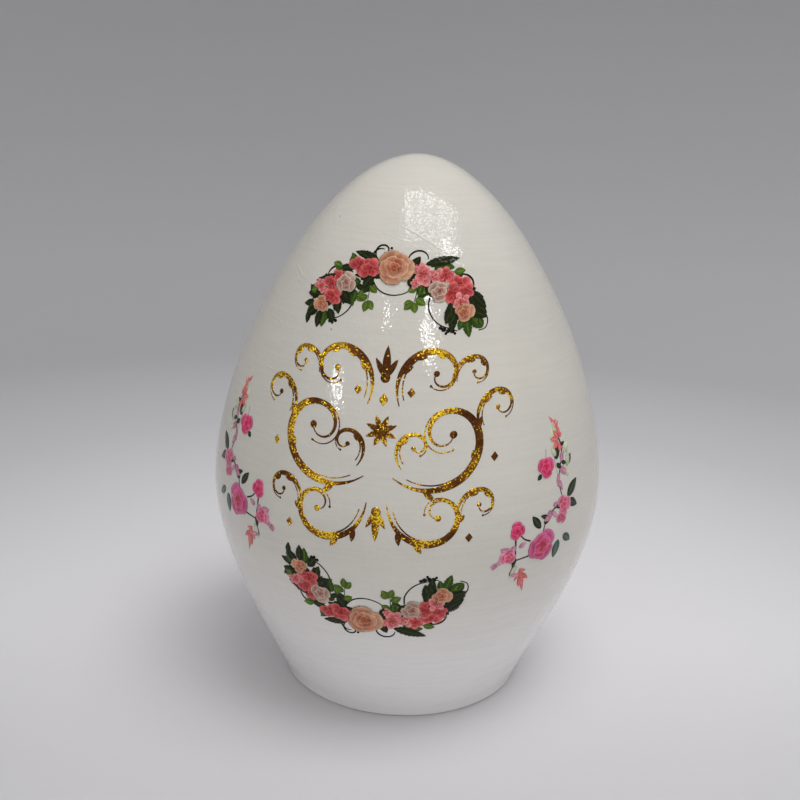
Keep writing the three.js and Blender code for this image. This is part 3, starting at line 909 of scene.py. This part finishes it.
@geometry_tree
def along_vine(
    recipe, vine="Object", motif="Object", count=10, aside=1 * MM, leaf_length=3 * MM,
    leaf_half_width=0.8 * MM, lift=0.0, shade_spread=0.2, seed=1,
):
    """Places strewn along a vine, a little to either side, each with a heading and a size."""
    fed = {"Curve": recipe.shape_of(vine), "Count": count}
    spots = recipe.get("CurveToPoints", fed)
    x, y, _ = recipe.here()
    off_x = chance(recipe, seed + 1.0, -1.0, 1.0) * aside
    off_y = chance(recipe, seed + 2.0, -1.0, 1.0) * aside
    layer = lift + chance(recipe, seed + 3.0, 0.0, 0.02 * MM)
    strewn = recipe.move(spots, recipe.vector(x + off_x, y + off_y, layer))
    strewn = recipe.store(strewn, "Heading", chance(recipe, seed + 4.0, 0.0, math.tau))
    grown = chance(recipe, seed + 5.0, 0.65, 1.2)
    size = recipe.vector(leaf_length * grown, leaf_half_width * grown, 1.0)
    strewn = recipe.store(strewn, "Size", size, data="FLOAT_VECTOR")
    return recipe.use(set_out, places=strewn, motif=motif, shade_spread=shade_spread, seed=seed)


def foliage(name, ink, count, length, half_width, aside, seed):
    """Saw-edged leaves strewn behind the blooms along the garland's vine."""
    motif = made(name + "_motif", printed_leaf, **ink, teeth=6.0)
    line = drawn_lines(name + "_vine", [vine_line])
    strewn = made(
        name, along_vine, vine=line, motif=motif, count=count, aside=aside * MM, seed=seed,
        leaf_length=length * MM, leaf_half_width=half_width * MM, lift=0.025 * MM, shade_spread=0.5,
    )
    clear([line, motif])
    return strewn


vine_line = stem_line(garland_vine, 0.26, 0.6)
garland_parts = [
    lines_printed("vine", [vine_line], dark_green["leaf_ink"], 0.02 * MM),
    foliage("dark_foliage", dark_green, 60, 3.2, 0.85, 2.1, 11),
    foliage("green_foliage", middle_green, 18, 2.8, 0.8, 2.2, 19),
    leaves("dark_leaves", under_leaves, dark_green, 8.0, 3),
    leaves("green_leaves", green_leaves, middle_green, 6.0, 5),
    leaves("light_leaves", light_leaves, light_green, 0.0, 7),
    stems("sprig_stems", sprig_stems, srgb(0.2, 0.3, 0.12), 0.13),
    lines_printed("tendrils", [tendril(*row) for row in garland_curls], curl_ink, curl_lift),
    stems("long_tendrils", long_curls, curl_ink, 0.16, 0.55, curl_lift),
    dots("berries", curl_berries, curl_ink, 0.05 * MM),
    blooms("great_roses", great_roses, great_rose, 2),
    blooms("small_roses", small_roses, small_rose, 4),
    blooms("pale_roses", pale_roses, pale_rose, 6),
    blooms("coral_blossoms", coral_blossoms, coral_blossom, 8),
    blooms("pink_carnations", pink_carnations, pink_carnation, 10),
]
upper_rise = side_length - upper_garland_drop
upper_garland = laid_on_egg(
    "upper_garland_print", garland_parts, printed_paper, upper_rise, scale=garland_scale
)
lower_garland = laid_on_egg(
    "lower_garland_print", garland_parts, printed_paper, lower_garland_rise, lower_garland_shift,
    scale=garland_scale, turn=lower_garland_turn, mirror=(1.0, -1.0, 1.0),
)
clear(garland_parts)
for piece, node in ((upper_garland, "upper_garland"), (lower_garland, "lower_garland")):
    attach(piece, "root")
    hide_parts(node)

# The printed sprays
# A drooping stem of rosebuds in bright pink, heavier towards its foot, printed and laid like the
# garlands. One stands at each side of the gold ornament, and the left is the right's mirror.

spray_scale = 0.996
right_spray_round = 38.4 * MM
right_spray_rise = 56 * MM
left_spray_round = -37 * MM
left_spray_rise = 60.5 * MM

spray_green = leaf_inks((0.13, 0.15, 0.1), (0.26, 0.32, 0.22))
misty_green = leaf_inks((0.22, 0.31, 0.27), (0.38, 0.48, 0.42))
# Leaves: base x and y, heading, length, half width
spray_dark_leaves = [
    (5.2, -0.2, 40, 4.9, 1.2), (5.5, -1.0, 332, 4.0, 0.95), (-3.2, -5.0, 128, 3.8, 0.85),
    (-2.2, -4.4, 52, 2.9, 0.8), (2.0, 8.3, 74, 2.9, 0.9), (2.0, 7.4, 322, 1.9, 0.55),
    (3.8, 10.8, 20, 1.6, 0.4), (2.9, -1.4, 180, 1.8, 0.6), (3.6, 7.5, 340, 1.8, 0.45),
    (-1.0, -3.2, 160, 2.4, 0.5), (-2.7, 6.1, 222, 1.5, 0.5), (-9.2, -10.2, 262, 2.4, 0.5),
]
spray_misty_leaves = [
    (2.6, -9.0, 262, 4.2, 1.2), (4.2, -8.3, 326, 3.8, 0.9), (6.0, 6.5, 60, 2.4, 0.6),
]
# Petals that stand alone on the stem, as at its tips
coral_tips = [
    (3.9, 13.9, 126, 4.2, 0.5), (3.5, 14.8, 62, 1.4, 0.3), (2.9, 15.7, 46, 1.0, 0.25),
    (3.4, 15.0, 196, 1.0, 0.25), (3.9, 12.9, 98, 2.2, 0.5), (3.4, 12.3, 172, 2.6, 0.65),
    (3.4, 11.7, 206, 2.4, 0.6), (3.6, 12.5, 134, 2.4, 0.6), (3.9, 12.5, 50, 1.3, 0.35),
    (3.6, 11.3, 262, 1.8, 0.5), (-7.5, -13.1, 290, 6.6, 0.6), (-6.8, -14.5, 322, 2.8, 0.5),
    (-7.2, -13.9, 244, 2.4, 0.45), (-7.0, -15.2, 276, 2.6, 0.5), (-7.6, -13.5, 350, 1.8, 0.4),
]
mauve_tips = [
    (3.2, 6.7, 300, 2.6, 0.7), (3.4, 6.1, 330, 3.0, 0.6), (4.2, 9.4, 250, 2.2, 0.6),
    (4.3, 10.0, 80, 1.6, 0.4), (2.2, 4.0, 300, 2.8, 0.6), (1.8, 3.2, 340, 1.8, 0.5),
    (2.6, 5.3, 250, 2.4, 0.5), (-0.4, -1.7, 250, 2.6, 0.8), (0.0, -2.2, 320, 2.4, 0.5),
    (-0.6, -3.0, 200, 2.0, 0.6), (0.4, -1.1, 20, 1.6, 0.5), (-10.8, -9.0, 150, 2.6, 0.9),
    (-9.6, -7.5, 240, 2.6, 0.7), (-8.6, -8.1, 30, 1.9, 0.5), (-13.2, -11.2, 190, 1.7, 0.6),
    (-13.6, -11.0, 240, 1.4, 0.5), (-9.6, -14.1, 340, 2.4, 0.5), (-12.2, -10.4, 210, 1.8, 0.5),
]
faint_tips = [
    (1.6, 11.7, 84, 3.6, 0.9), (2.8, 13.3, 102, 2.8, 0.7), (5.0, 9.0, 66, 3.4, 0.8),
    (5.6, 6.1, 80, 3.6, 0.7), (5.4, 4.0, 74, 2.6, 0.6), (2.0, 9.0, 120, 2.4, 0.6),
    (2.4, -2.8, 320, 3.4, 0.5), (-8.6, -12.1, 250, 3.2, 0.6),
]
spray_stems = [
    [(3.4, 12.9), (4.2, 10.2), (3.2, 6.7), (2.4, 3.6), (3.2, 0.7)],
    [(3.4, -1.1), (1.0, -1.6), (-1.4, -3.2), (-2.6, -6.3)],
    [(-5.8, -7.2), (-7.4, -6.5), (-8.4, -5.5)],
    [(-9.6, -5.9), (-9.4, -8.3), (-9.0, -11.4)],
    [(-5.8, -10.6), (-7.6, -10.8), (-9.2, -11.0)],
    [(-9.2, -12.1), (-9.8, -14.3), (-7.8, -14.7)],
]
thin_stems = [
    [(-0.7, 11.0), (-0.9, 10.0), (-1.0, 9.0)],
    [(2.4, 11.4), (1.5, 9.0), (1.9, 6.0), (2.8, 3.4)],
    [(5.0, 10.4), (4.4, 7.4), (4.8, 4.6)],
]
bright_roses = [(-1.3, 7.3, 2.55, 30, 2), (-9.3, -4.4, 2.1, 110, 2)]
spray_great_roses = [(-2.4, -9.1, 4.0, 60, 2)]
spray_blush_roses = [(3.8, -1.5, 2.5, 10, 2), (3.2, -4.0, 1.9, 60, 1), (-11, -9.7, 2.15, 200, 2)]
bright_rose = {
    **small_rose, "petals": 14, "cream": 0.15,
    **inks((0.9, 0.42, 0.6), (0.88, 0.24, 0.45), (0.9, 0.14, 0.24)),
}
spray_great_rose = {
    **great_rose, "petals": 17, "cream": 0.1, "heart_pull": 0.9,
    **inks((0.83, 0.46, 0.65), (0.82, 0.31, 0.51), (0.88, 0.22, 0.28)),
}
blush_rose = {
    **small_rose, "petals": 11, "cream": 0.3,
    **inks((0.9, 0.6, 0.72), (0.87, 0.4, 0.52), (0.84, 0.26, 0.28)),
}


def petals(name, rows, body, rim, seed):
    """Loose petals, set out as leaves without teeth or veins."""
    shape = {"step": 0.005 * MM, "shade_spread": 0.3, "veins": 0.0, "root": 0.7, "tip": 1.15}
    return leaves(name, rows, leaf_inks(body, rim), 0.0, seed, **shape)


spray_parts = [
    leaves("spray_dark_leaves", spray_dark_leaves, spray_green, 0.0, 3),
    leaves("spray_misty_leaves", spray_misty_leaves, misty_green, 0.0, 4),
    petals("faint_tips", faint_tips, (0.76, 0.79, 0.66), (0.82, 0.83, 0.75), 4),
    petals("coral_tips", coral_tips, (0.84, 0.33, 0.34), (0.93, 0.6, 0.58), 5),
    petals("mauve_tips", mauve_tips, (0.7, 0.45, 0.56), (0.86, 0.66, 0.73), 6),
    stems("spray_stems", spray_stems, srgb(0.24, 0.13, 0.12), 0.2, 0.6),
    stems("spray_thin_stems", thin_stems, srgb(0.62, 0.58, 0.5), 0.09, 0.6),
    blooms("bright_roses", bright_roses, bright_rose, 7),
    blooms("spray_great_roses", spray_great_roses, spray_great_rose, 8),
    blooms("spray_blush_roses", spray_blush_roses, blush_rose, 9),
]
sprays = {
    "right_spray": (right_spray_rise, right_spray_round, 1.0),
    "left_spray": (left_spray_rise, left_spray_round, -1.0),
}
for node, (rise, around, side) in sprays.items():
    placed = {"scale": spray_scale, "mirror": (side, 1.0, 1.0)}
    piece = laid_on_egg(node + "_print", spray_parts, printed_paper, rise, around, **placed)
    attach(piece, "root")
    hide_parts(node)
clear(spray_parts)

# The gold ornament
# Brass-coloured transfer foil, pressed down as many small islands between the garlands and sealed
# under the last coat of varnish. Its crackled face is painted: brown for shade, amber sheen and yellow
# flecks for glints.

foil_rise = 68.9 * MM
foil_lift = 0.03 * MM
foil_leaf_half_width = 0.575 * MM
foil_leaf_shape = {"rows": 10, "columns": 4, "root": 0.75, "tip": 0.95}
lozenge_half = 0.8


@shader_tree
def crackled_gold(
    recipe, flake_size=0.24 * MM, patch_size=8 * MM, least_bright=0.04, most_bright=0.62, tilt=0.3,
    brown=srgb(0.27, 0.14, 0.05), amber=srgb(0.62, 0.38, 0.12), gold=srgb(0.98, 0.82, 0.2),
):
    """Foil colours: a brown ground as painted shade and dark reflection, amber patches as painted sheen and
    yellow flecks of crackle as painted glints, with a tilt for each flake.
    """
    place = recipe.on_object()
    scale = 1.0 / flake_size
    fed = {"Vector": place, "Scale": scale}
    own, middle = recipe.get("TexVoronoi", fed, ("Color", "Position"))
    lot, other, _ = recipe.parts(own)
    # Painted light: the amber patches and yellow flecks stand in for sheen and glints, and the brown stands
    # in for shade.
    patches = recipe.noise(place, 1.0 / patch_size, 2.0)
    bright = recipe.calc("LESS_THAN", lot, recipe.ease(patches, 0.38, 0.66, least_bright, most_bright))
    warmth = recipe.ease(patches, 0.36, 0.62, 0.0, 0.8) + other * 0.25
    colour = recipe.mix(bright, recipe.mix(warmth, brown, amber), gold)
    slope = recipe.dot(place * scale - middle, own - (0.5, 0.5, 0.5))
    return colour, slope * tilt * flake_size, bright


@finish
def gold_foil(recipe):
    """Crackled foil with the varnish's own waves over it."""
    colour, flakes, bright = recipe.use(crackled_gold)
    rough = recipe.ease(bright, 0.0, 1.0, 0.42, 0.26, "LINEAR")
    normal = recipe.bump(flakes + recipe.use(brushed_varnish)[0])
    return {"Base Color": colour, "Metallic": 0.85, "Roughness": rough, "Normal": normal}


@geometry_tree
def foil_scroll(
    recipe, centre=(0.0, 0.0, 0.0), start=0.0, wind=1.0, outer_radius=1.0, inner_radius=0.1,
    ease=2.3, widest=0.1, tip_width=0.2 * MM, swell_at=0.4, bud_radius=0.1,
    leaf_shares=(0.0, 0.0, 0.0), leaf_sides=(0.0, 0.0, 0.0), leaf_lengths=(0.0, 0.0, 0.0),
    leaf_half_width=foil_leaf_half_width, leaf_splay=math.radians(36), lift=foil_lift, steps=90,
):
    """One scroll of foil that winds in to a bud, with up to three leaves on its way."""
    straight = recipe.get("CurvePrimitiveLine", ((0, 0, 0), (1, 0, 0)))
    cut = recipe.get("ResampleCurve", {"Curve": straight, "Count": steps})
    travelled = recipe.get("SplineParameter", out="Factor")

    def on_scroll(at):
        angle = start + wind * at
        left = recipe.calc("POWER", 1.0 - at, ease)
        radius = inner_radius + (outer_radius - inner_radius) * left
        x = radius * recipe.calc("COSINE", angle)
        return centre + recipe.vector(x, radius * recipe.calc("SINE", angle), 0.0)

    wound = recipe.move(cut, on_scroll(travelled))
    rising = travelled / swell_at
    falling = (1.0 - travelled) / (1.0 - swell_at)
    swell = recipe.calc("SINE", recipe.calc("MINIMUM", rising, falling) * (math.pi / 2)) ** 1.3
    half = (tip_width + (widest - tip_width) * swell) * 0.5
    bud_at = on_scroll(1.0) + recipe.vector(0.0, 0.0, lift)
    pieces = [flat_band(recipe, wound, half, lift, 5), flat_disc(recipe, 20, bud_radius, bud_at)]

    # Leaves, each at its share of the scroll and splayed from it
    leaf = recipe.use(blade, **foil_leaf_shape, lift=lift)
    turning = recipe.calc("SIGN", wind)
    rows = [recipe.parts(values) for values in (leaf_shares, leaf_sides, leaf_lengths)]
    for at, side, length in zip(*rows):
        fed = {"Curves": wound, "Factor": at}
        spot, ahead = recipe.get("SampleCurve", fed, ("Position", "Tangent"), mode="FACTOR")
        ahead_x, ahead_y, _ = recipe.parts(ahead)
        angle = recipe.calc("ARCTAN2", ahead_y, ahead_x) + turning * side * leaf_splay
        placed = {
            "Geometry": leaf,
            "Translation": spot,
            "Rotation": heading(recipe, angle),
            "Scale": recipe.vector(length, leaf_half_width, recipe.calc("SIGN", length)),
        }
        grown = recipe.get("Transform", placed)
        wanted = recipe.get("Compare", {0: length, 1: 1e-6}, operation="GREATER_THAN")
        fed = {"Switch": wanted, "True": grown}
        pieces.append(recipe.get("Switch", fed, input_type="GEOMETRY"))
    return joined(recipe, pieces)


# Scrolls: centre, the stroke and the hairline beside it as start, wind, outer and inner radius,
# widest and bud radius, and the stroke's leaves as share, side and length
foil_scrolls = {
    "great_scroll": [
        (
            (12.2, 3), (222, 500, 12.6, 1.8, 1.7, 0.75), (232, 430, 10.9, 3.4, 0.42, 0.28),
            [(0.14, -1, 3.2), (0.4, 1, 2.4), (0.54, -1, 2.6)],
        ),
        (
            (24, 8), (226, -400, 6.4, 1.1, 0.95, 0.5), (222, -290, 5.2, 2.3, 0.34, 0.24),
            [(0.3, 1, 2.4), (0.52, 1, 2)],
        ),
    ],
    "inner_curl": [
        (
            (7.2, 0.6), (236, -400, 5.1, 0.8, 0.85, 0.45), (232, -300, 4.1, 1.7, 0.3, 0.22),
            [(0.34, 1, 2)],
        ),
    ],
    "crest_scroll": [
        (
            (10.6, 14), (217, -440, 9.4, 1.1, 1.3, 0.6), (214, -350, 8.1, 2.4, 0.38, 0.26),
            [(0.22, 1, 2.8), (0.36, 1, 2.6), (0.52, 1, 2.2)],
        ),
        (
            (18.2, 14.8), (205, -400, 5.6, 0.9, 0.85, 0.45), (200, -290, 4.6, 1.9, 0.3, 0.22),
            [(0.34, 1, 2.2), (0.56, 1, 1.8)],
        ),
    ],
    "lower_scroll": [
        (
            (11.8, -11.9), (172, 470, 9.9, 1.2, 1.4, 0.6), (180, 370, 8.5, 2.5, 0.38, 0.26),
            [(0.18, -1, 3), (0.3, -1, 2.8), (0.62, -1, 2)],
        ),
        (
            (21, -11), (204, -400, 5.8, 0.9, 0.9, 0.45), (200, -290, 4.8, 1.9, 0.3, 0.22),
            [(0.32, 1, 2.2), (0.54, 1, 1.8)],
        ),
    ],
}


def scroll(name, centre, stroke, sprouts=()):
    start, wind, outer, inner, widest, bud = stroke
    rows = [*sprouts, *[(0.0, 0.0, 0.0)] * (3 - len(sprouts))]
    shares, sides, lengths = zip(*rows)
    return made(
        name, foil_scroll,
        centre=(centre[0] * MM, centre[1] * MM, 0.0),
        start=math.radians(start), wind=math.radians(wind), steps=max(40, round(abs(wind) / 5)),
        outer_radius=outer * MM, inner_radius=inner * MM, widest=widest * MM, bud_radius=bud * MM,
        leaf_shares=[float(share) for share in shares],
        leaf_sides=[float(side) for side in sides],
        leaf_lengths=[length * MM for length in lengths],
    )


def lay_foil(node, parts, side=1.0):
    """One island of foil laid in the middle of the front."""
    name = node.replace("gold_", "foil_")
    piece = laid_on_egg(name, parts, gold_foil, foil_rise, mirror=(side, 1.0, 1.0))
    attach(piece, "root")
    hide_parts(node)


def lay_pair(name, parts):
    """An island and its mirror, from the same parts."""
    lay_foil(f"gold_{name}_right", parts)
    lay_foil(f"gold_{name}_left", parts, -1.0)
    clear(parts)


def fan(x, y, rows):
    """Foil petals from one root, each given as heading, length and width."""
    return [(x, y, 0.0, turn, length, width / 2) for turn, length, width in rows]


def lozenge(name, x, y, half):
    """A lozenge drawn as one short fat line."""
    line = [(x, y - 1.2 * half, 0.02), (x, y, half), (x, y + 1.2 * half, 0.02)]
    return [lines_printed(name + "_flat", [line], foil_ink, foil_lift)]


foil_ink = srgb(0.8, 0.6, 0.2)
for name, rows in foil_scrolls.items():
    drawn = []
    for i, (centre, stroke, _, sprouts) in enumerate(rows):
        drawn.append(scroll(f"{name}_stroke_{i}", centre, stroke, sprouts))
    for i, (centre, _, hairline, _) in enumerate(rows):
        drawn.append(scroll(f"{name}_hairline_{i}", centre, hairline))
    lay_pair(name, drawn)

centre_islands = {
    "finial": (fan(0, 13.6, [(90, 6.4, 1.6), (60, 4.4, 1.2), (120, 4.4, 1.2)]), (0, 13.6, 0.95)),
    "rosette": (fan(0, 3.4, [(i * 45 + 22.5, 3.2, 1.1) for i in range(8)]), (0, 3.4, 1.3)),
    "pendant": (fan(0, -12.2, [(270, 6, 1.5), (300, 3.8, 1.1), (240, 3.8, 1.1)]), (0, -12.2, 0.95)),
}
for name, (rows, boss) in centre_islands.items():
    drawn = [
        dots(name + "_boss", [boss], foil_ink, foil_lift + 0.01 * MM, 24),
        set_motif(name + "_petals", blade, rows, **foil_leaf_shape, lift=foil_lift),
    ]
    lay_foil("gold_" + name, drawn)
    clear(drawn)
drawn = lozenge("centre_lozenge", 0, 9.4, 1)
lay_foil("gold_centre_lozenge", drawn)
clear(drawn)

side_lozenges = {
    "crest_lozenge": (5.2, 11),
    "side_lozenge": (22.8, -1.6),
    "foot_lozenge": (18.4, -17.2),
}
for name, (x, y) in side_lozenges.items():
    lay_pair(name, lozenge(name, x, y, lozenge_half))

bpy.data.objects.remove(side_line)

# The table top and the light
# The egg stands on a pale paper sweep that rises all round it. A room light from above right, a
# ceiling panel with small bulbs and a few far lamps light it, and the varnish breaks up the glints.

sweep_flat = 0.34
sweep_bend = 0.26
sweep_top = 0.42
egg_middle = Vector((0.0, 0.0, 0.08))


def paper_sweep():
    """A round sheet of paper: flat in the middle, then bent up to an upright rim."""
    profile = [(sweep_flat * i / 12, 0.0) for i in range(1, 13)]
    for i in range(1, 25):
        angle = math.pi / 2 * i / 24
        profile.append((sweep_flat + sweep_bend * math.sin(angle), sweep_bend * (1 - math.cos(angle))))
    profile.append((sweep_flat + sweep_bend, sweep_top))
    around = 96
    corners = [(0.0, 0.0, 0.0)]
    for radius, height in profile:
        for i in range(around):
            angle = math.tau * i / around
            corners.append((radius * math.cos(angle), radius * math.sin(angle), height))
    faces = [(0, 1 + i, 1 + (i + 1) % around) for i in range(around)]
    for low in range(1, 1 + around * (len(profile) - 1), around):
        for i in range(around):
            after = (i + 1) % around
            faces.append((low + i, low + around + i, low + around + after, low + after))
    mesh = bpy.data.meshes.new("paper_sweep")
    mesh.from_pydata(corners, [], faces)
    mesh.shade_smooth()
    return linked("paper_sweep", mesh)


@finish
def sweep_paper(recipe):
    """Matt paper with a faint tooth; its greying towards the rim and its darker left and front are painted
    shade, its lighter right painted light.
    """
    place = recipe.on_object()
    x, y, z = recipe.parts(place)
    radius = recipe.calc("SQRT", x * x + y * y)
    # Painted shade: the paper greys with distance from the egg and up the rim, where less light would fall.
    ramp = recipe.add("ValToRGB", (radius + z,))
    stops = [
        (0.05, srgb(0.915, 0.91, 0.92)), (0.08, srgb(0.91, 0.905, 0.92)),
        (0.12, srgb(0.88, 0.88, 0.895)), (0.2, srgb(0.8, 0.8, 0.815)),
        (0.32, srgb(0.735, 0.735, 0.745)), (0.5, srgb(0.71, 0.71, 0.72)),
        (0.66, srgb(0.67, 0.67, 0.68)), (0.86, srgb(0.635, 0.635, 0.645)),
    ]
    marks = ramp.color_ramp.elements
    while len(marks) < len(stops):
        marks.new(0.5)
    for mark, (spot, colour) in zip(marks, stops):
        mark.position = spot
        mark.color = colour
    # Painted light and shade: the paper is darker to the left of the egg and in front of it, and lighter to
    # the right.
    shade = recipe.ease(x, -0.1, 0.12, 0.997, 1.03) * recipe.ease(y, 0.02, -0.06, 1.0, 0.83)
    near = recipe.lit(Value(recipe, ramp.outputs[0]), shade)
    paper = recipe.mix(recipe.ease(y, -0.1, -0.24), near, srgb(0.96, 0.96, 0.96))
    normal = recipe.bump(recipe.noise(place, 900.0, 2.0) * (0.03 * MM))
    return {"Base Color": paper, "Roughness": 0.8, "Normal": normal}


sweep = paper_sweep()
sweep.data.materials.append(sweep_paper)
sweep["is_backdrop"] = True


def hang_lamp(name, spot, size, power, turn=0.0, aim=None, lights=True, shows=True):
    """A flat lamp that faces straight down or at an aim; it lights the paint, shows in it, or both."""
    lamp = bpy.data.lights.new(name, "AREA")
    lamp.shape = "RECTANGLE"
    lamp.size, lamp.size_y = size
    lamp.energy = power
    holder = linked(name, lamp)
    spot = Vector(spot)
    facing = (spot - aim).to_track_quat("Z", "Y").to_matrix().to_4x4() if aim else Matrix()
    spin = Matrix.Rotation(math.radians(turn), 4, "Z")
    holder.matrix_world = Matrix.Translation(spot) @ facing @ spin
    holder.visible_camera = False
    holder.visible_diffuse = lights
    holder.visible_glossy = shows


def seen_from_egg(azimuth, elevation):
    """A spot at an azimuth from the front and an elevation, in degrees, as the egg sees it."""
    around, up = math.radians(azimuth), math.radians(elevation)
    toward = Vector((math.sin(around) * math.cos(up), -math.cos(around) * math.cos(up), math.sin(up)))
    return egg_middle + toward * 0.55


hang_lamp("room_light", (0.36, -0.22, 1.1), (0.73, 0.49), 3.0, aim=egg_middle, shows=False)
hang_lamp("ceiling_panel", (0.18, -0.185, 1.105), (0.73, 0.49), 1.35)
for column, x in enumerate((-0.1, 0.04, 0.18, 0.32, 0.46)):
    for row, y in enumerate((-0.35, -0.185, -0.02)):
        hang_lamp(f"ceiling_bulb_{column}_{row}", (x, y, 1.1), (0.08, 0.08), 0.11)
hang_lamp("shelf_tube", (0.515, -0.41, 1.1), (0.34, 0.05), 0.7, turn=15.0, lights=False)
# Far lamps: azimuth and elevation as the egg sees them, width, power
far_lamps = [
    (15, 44, 0.03, 0.07), (10, 39, 0.03, 0.07), (15.5, 37, 0.03, 0.07), (12, 33, 0.03, 0.07),
    (-50, 22, 0.03, 0.07), (-46, 19, 0.035, 0.09), (-23, 43, 0.022, 0.035),
]
for i, (azimuth, elevation, width, power) in enumerate(far_lamps):
    spot = seen_from_egg(azimuth, elevation)
    hang_lamp(f"far_lamp_{i}", spot, (width, width), power, aim=egg_middle, lights=False)

world = bpy.data.worlds.new("room")
world.use_nodes = True
world.node_tree.nodes.clear()
room = Recipe(world.node_tree)
glow = room.get("Background", {"Color": srgb(1.0, 0.992, 0.985), "Strength": 0.42})
room.add("OutputWorld", (glow,))
bpy.context.scene.world = world
bpy.context.scene.view_settings.view_transform = "Standard"

# The camera
# It stands in front of the egg, a little above it, and looks down at it as the photograph does.

camera_pitch = math.radians(15.84)
camera_roll = math.radians(-1.96)
camera_reach = 230.22 * MM
camera_aim = Vector((-2.22 * MM, 0.0, 64.53 * MM))

ahead = Vector((0.0, math.cos(camera_pitch), -math.sin(camera_pitch)))
level = Vector((1.0, 0.0, 0.0))
above = Vector((0.0, math.sin(camera_pitch), math.cos(camera_pitch)))
right = math.cos(camera_roll) * level - math.sin(camera_roll) * above
upward = math.sin(camera_roll) * level + math.cos(camera_roll) * above
eye = camera_aim - camera_reach * ahead
lens = bpy.data.cameras.new("camera")
lens.lens = 45
lens.sensor_width = 36
lens.clip_start = 0.01
lens.clip_end = 20
camera = linked("camera", lens)
facing = Matrix((right, upward, -ahead)).transposed().to_4x4()
camera.matrix_world = Matrix.Translation(eye) @ facing
bpy.context.scene.camera = camera

sizes = {"cad": [list(corner) for corner in cad_box], "shown": [list(corner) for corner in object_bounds()]}
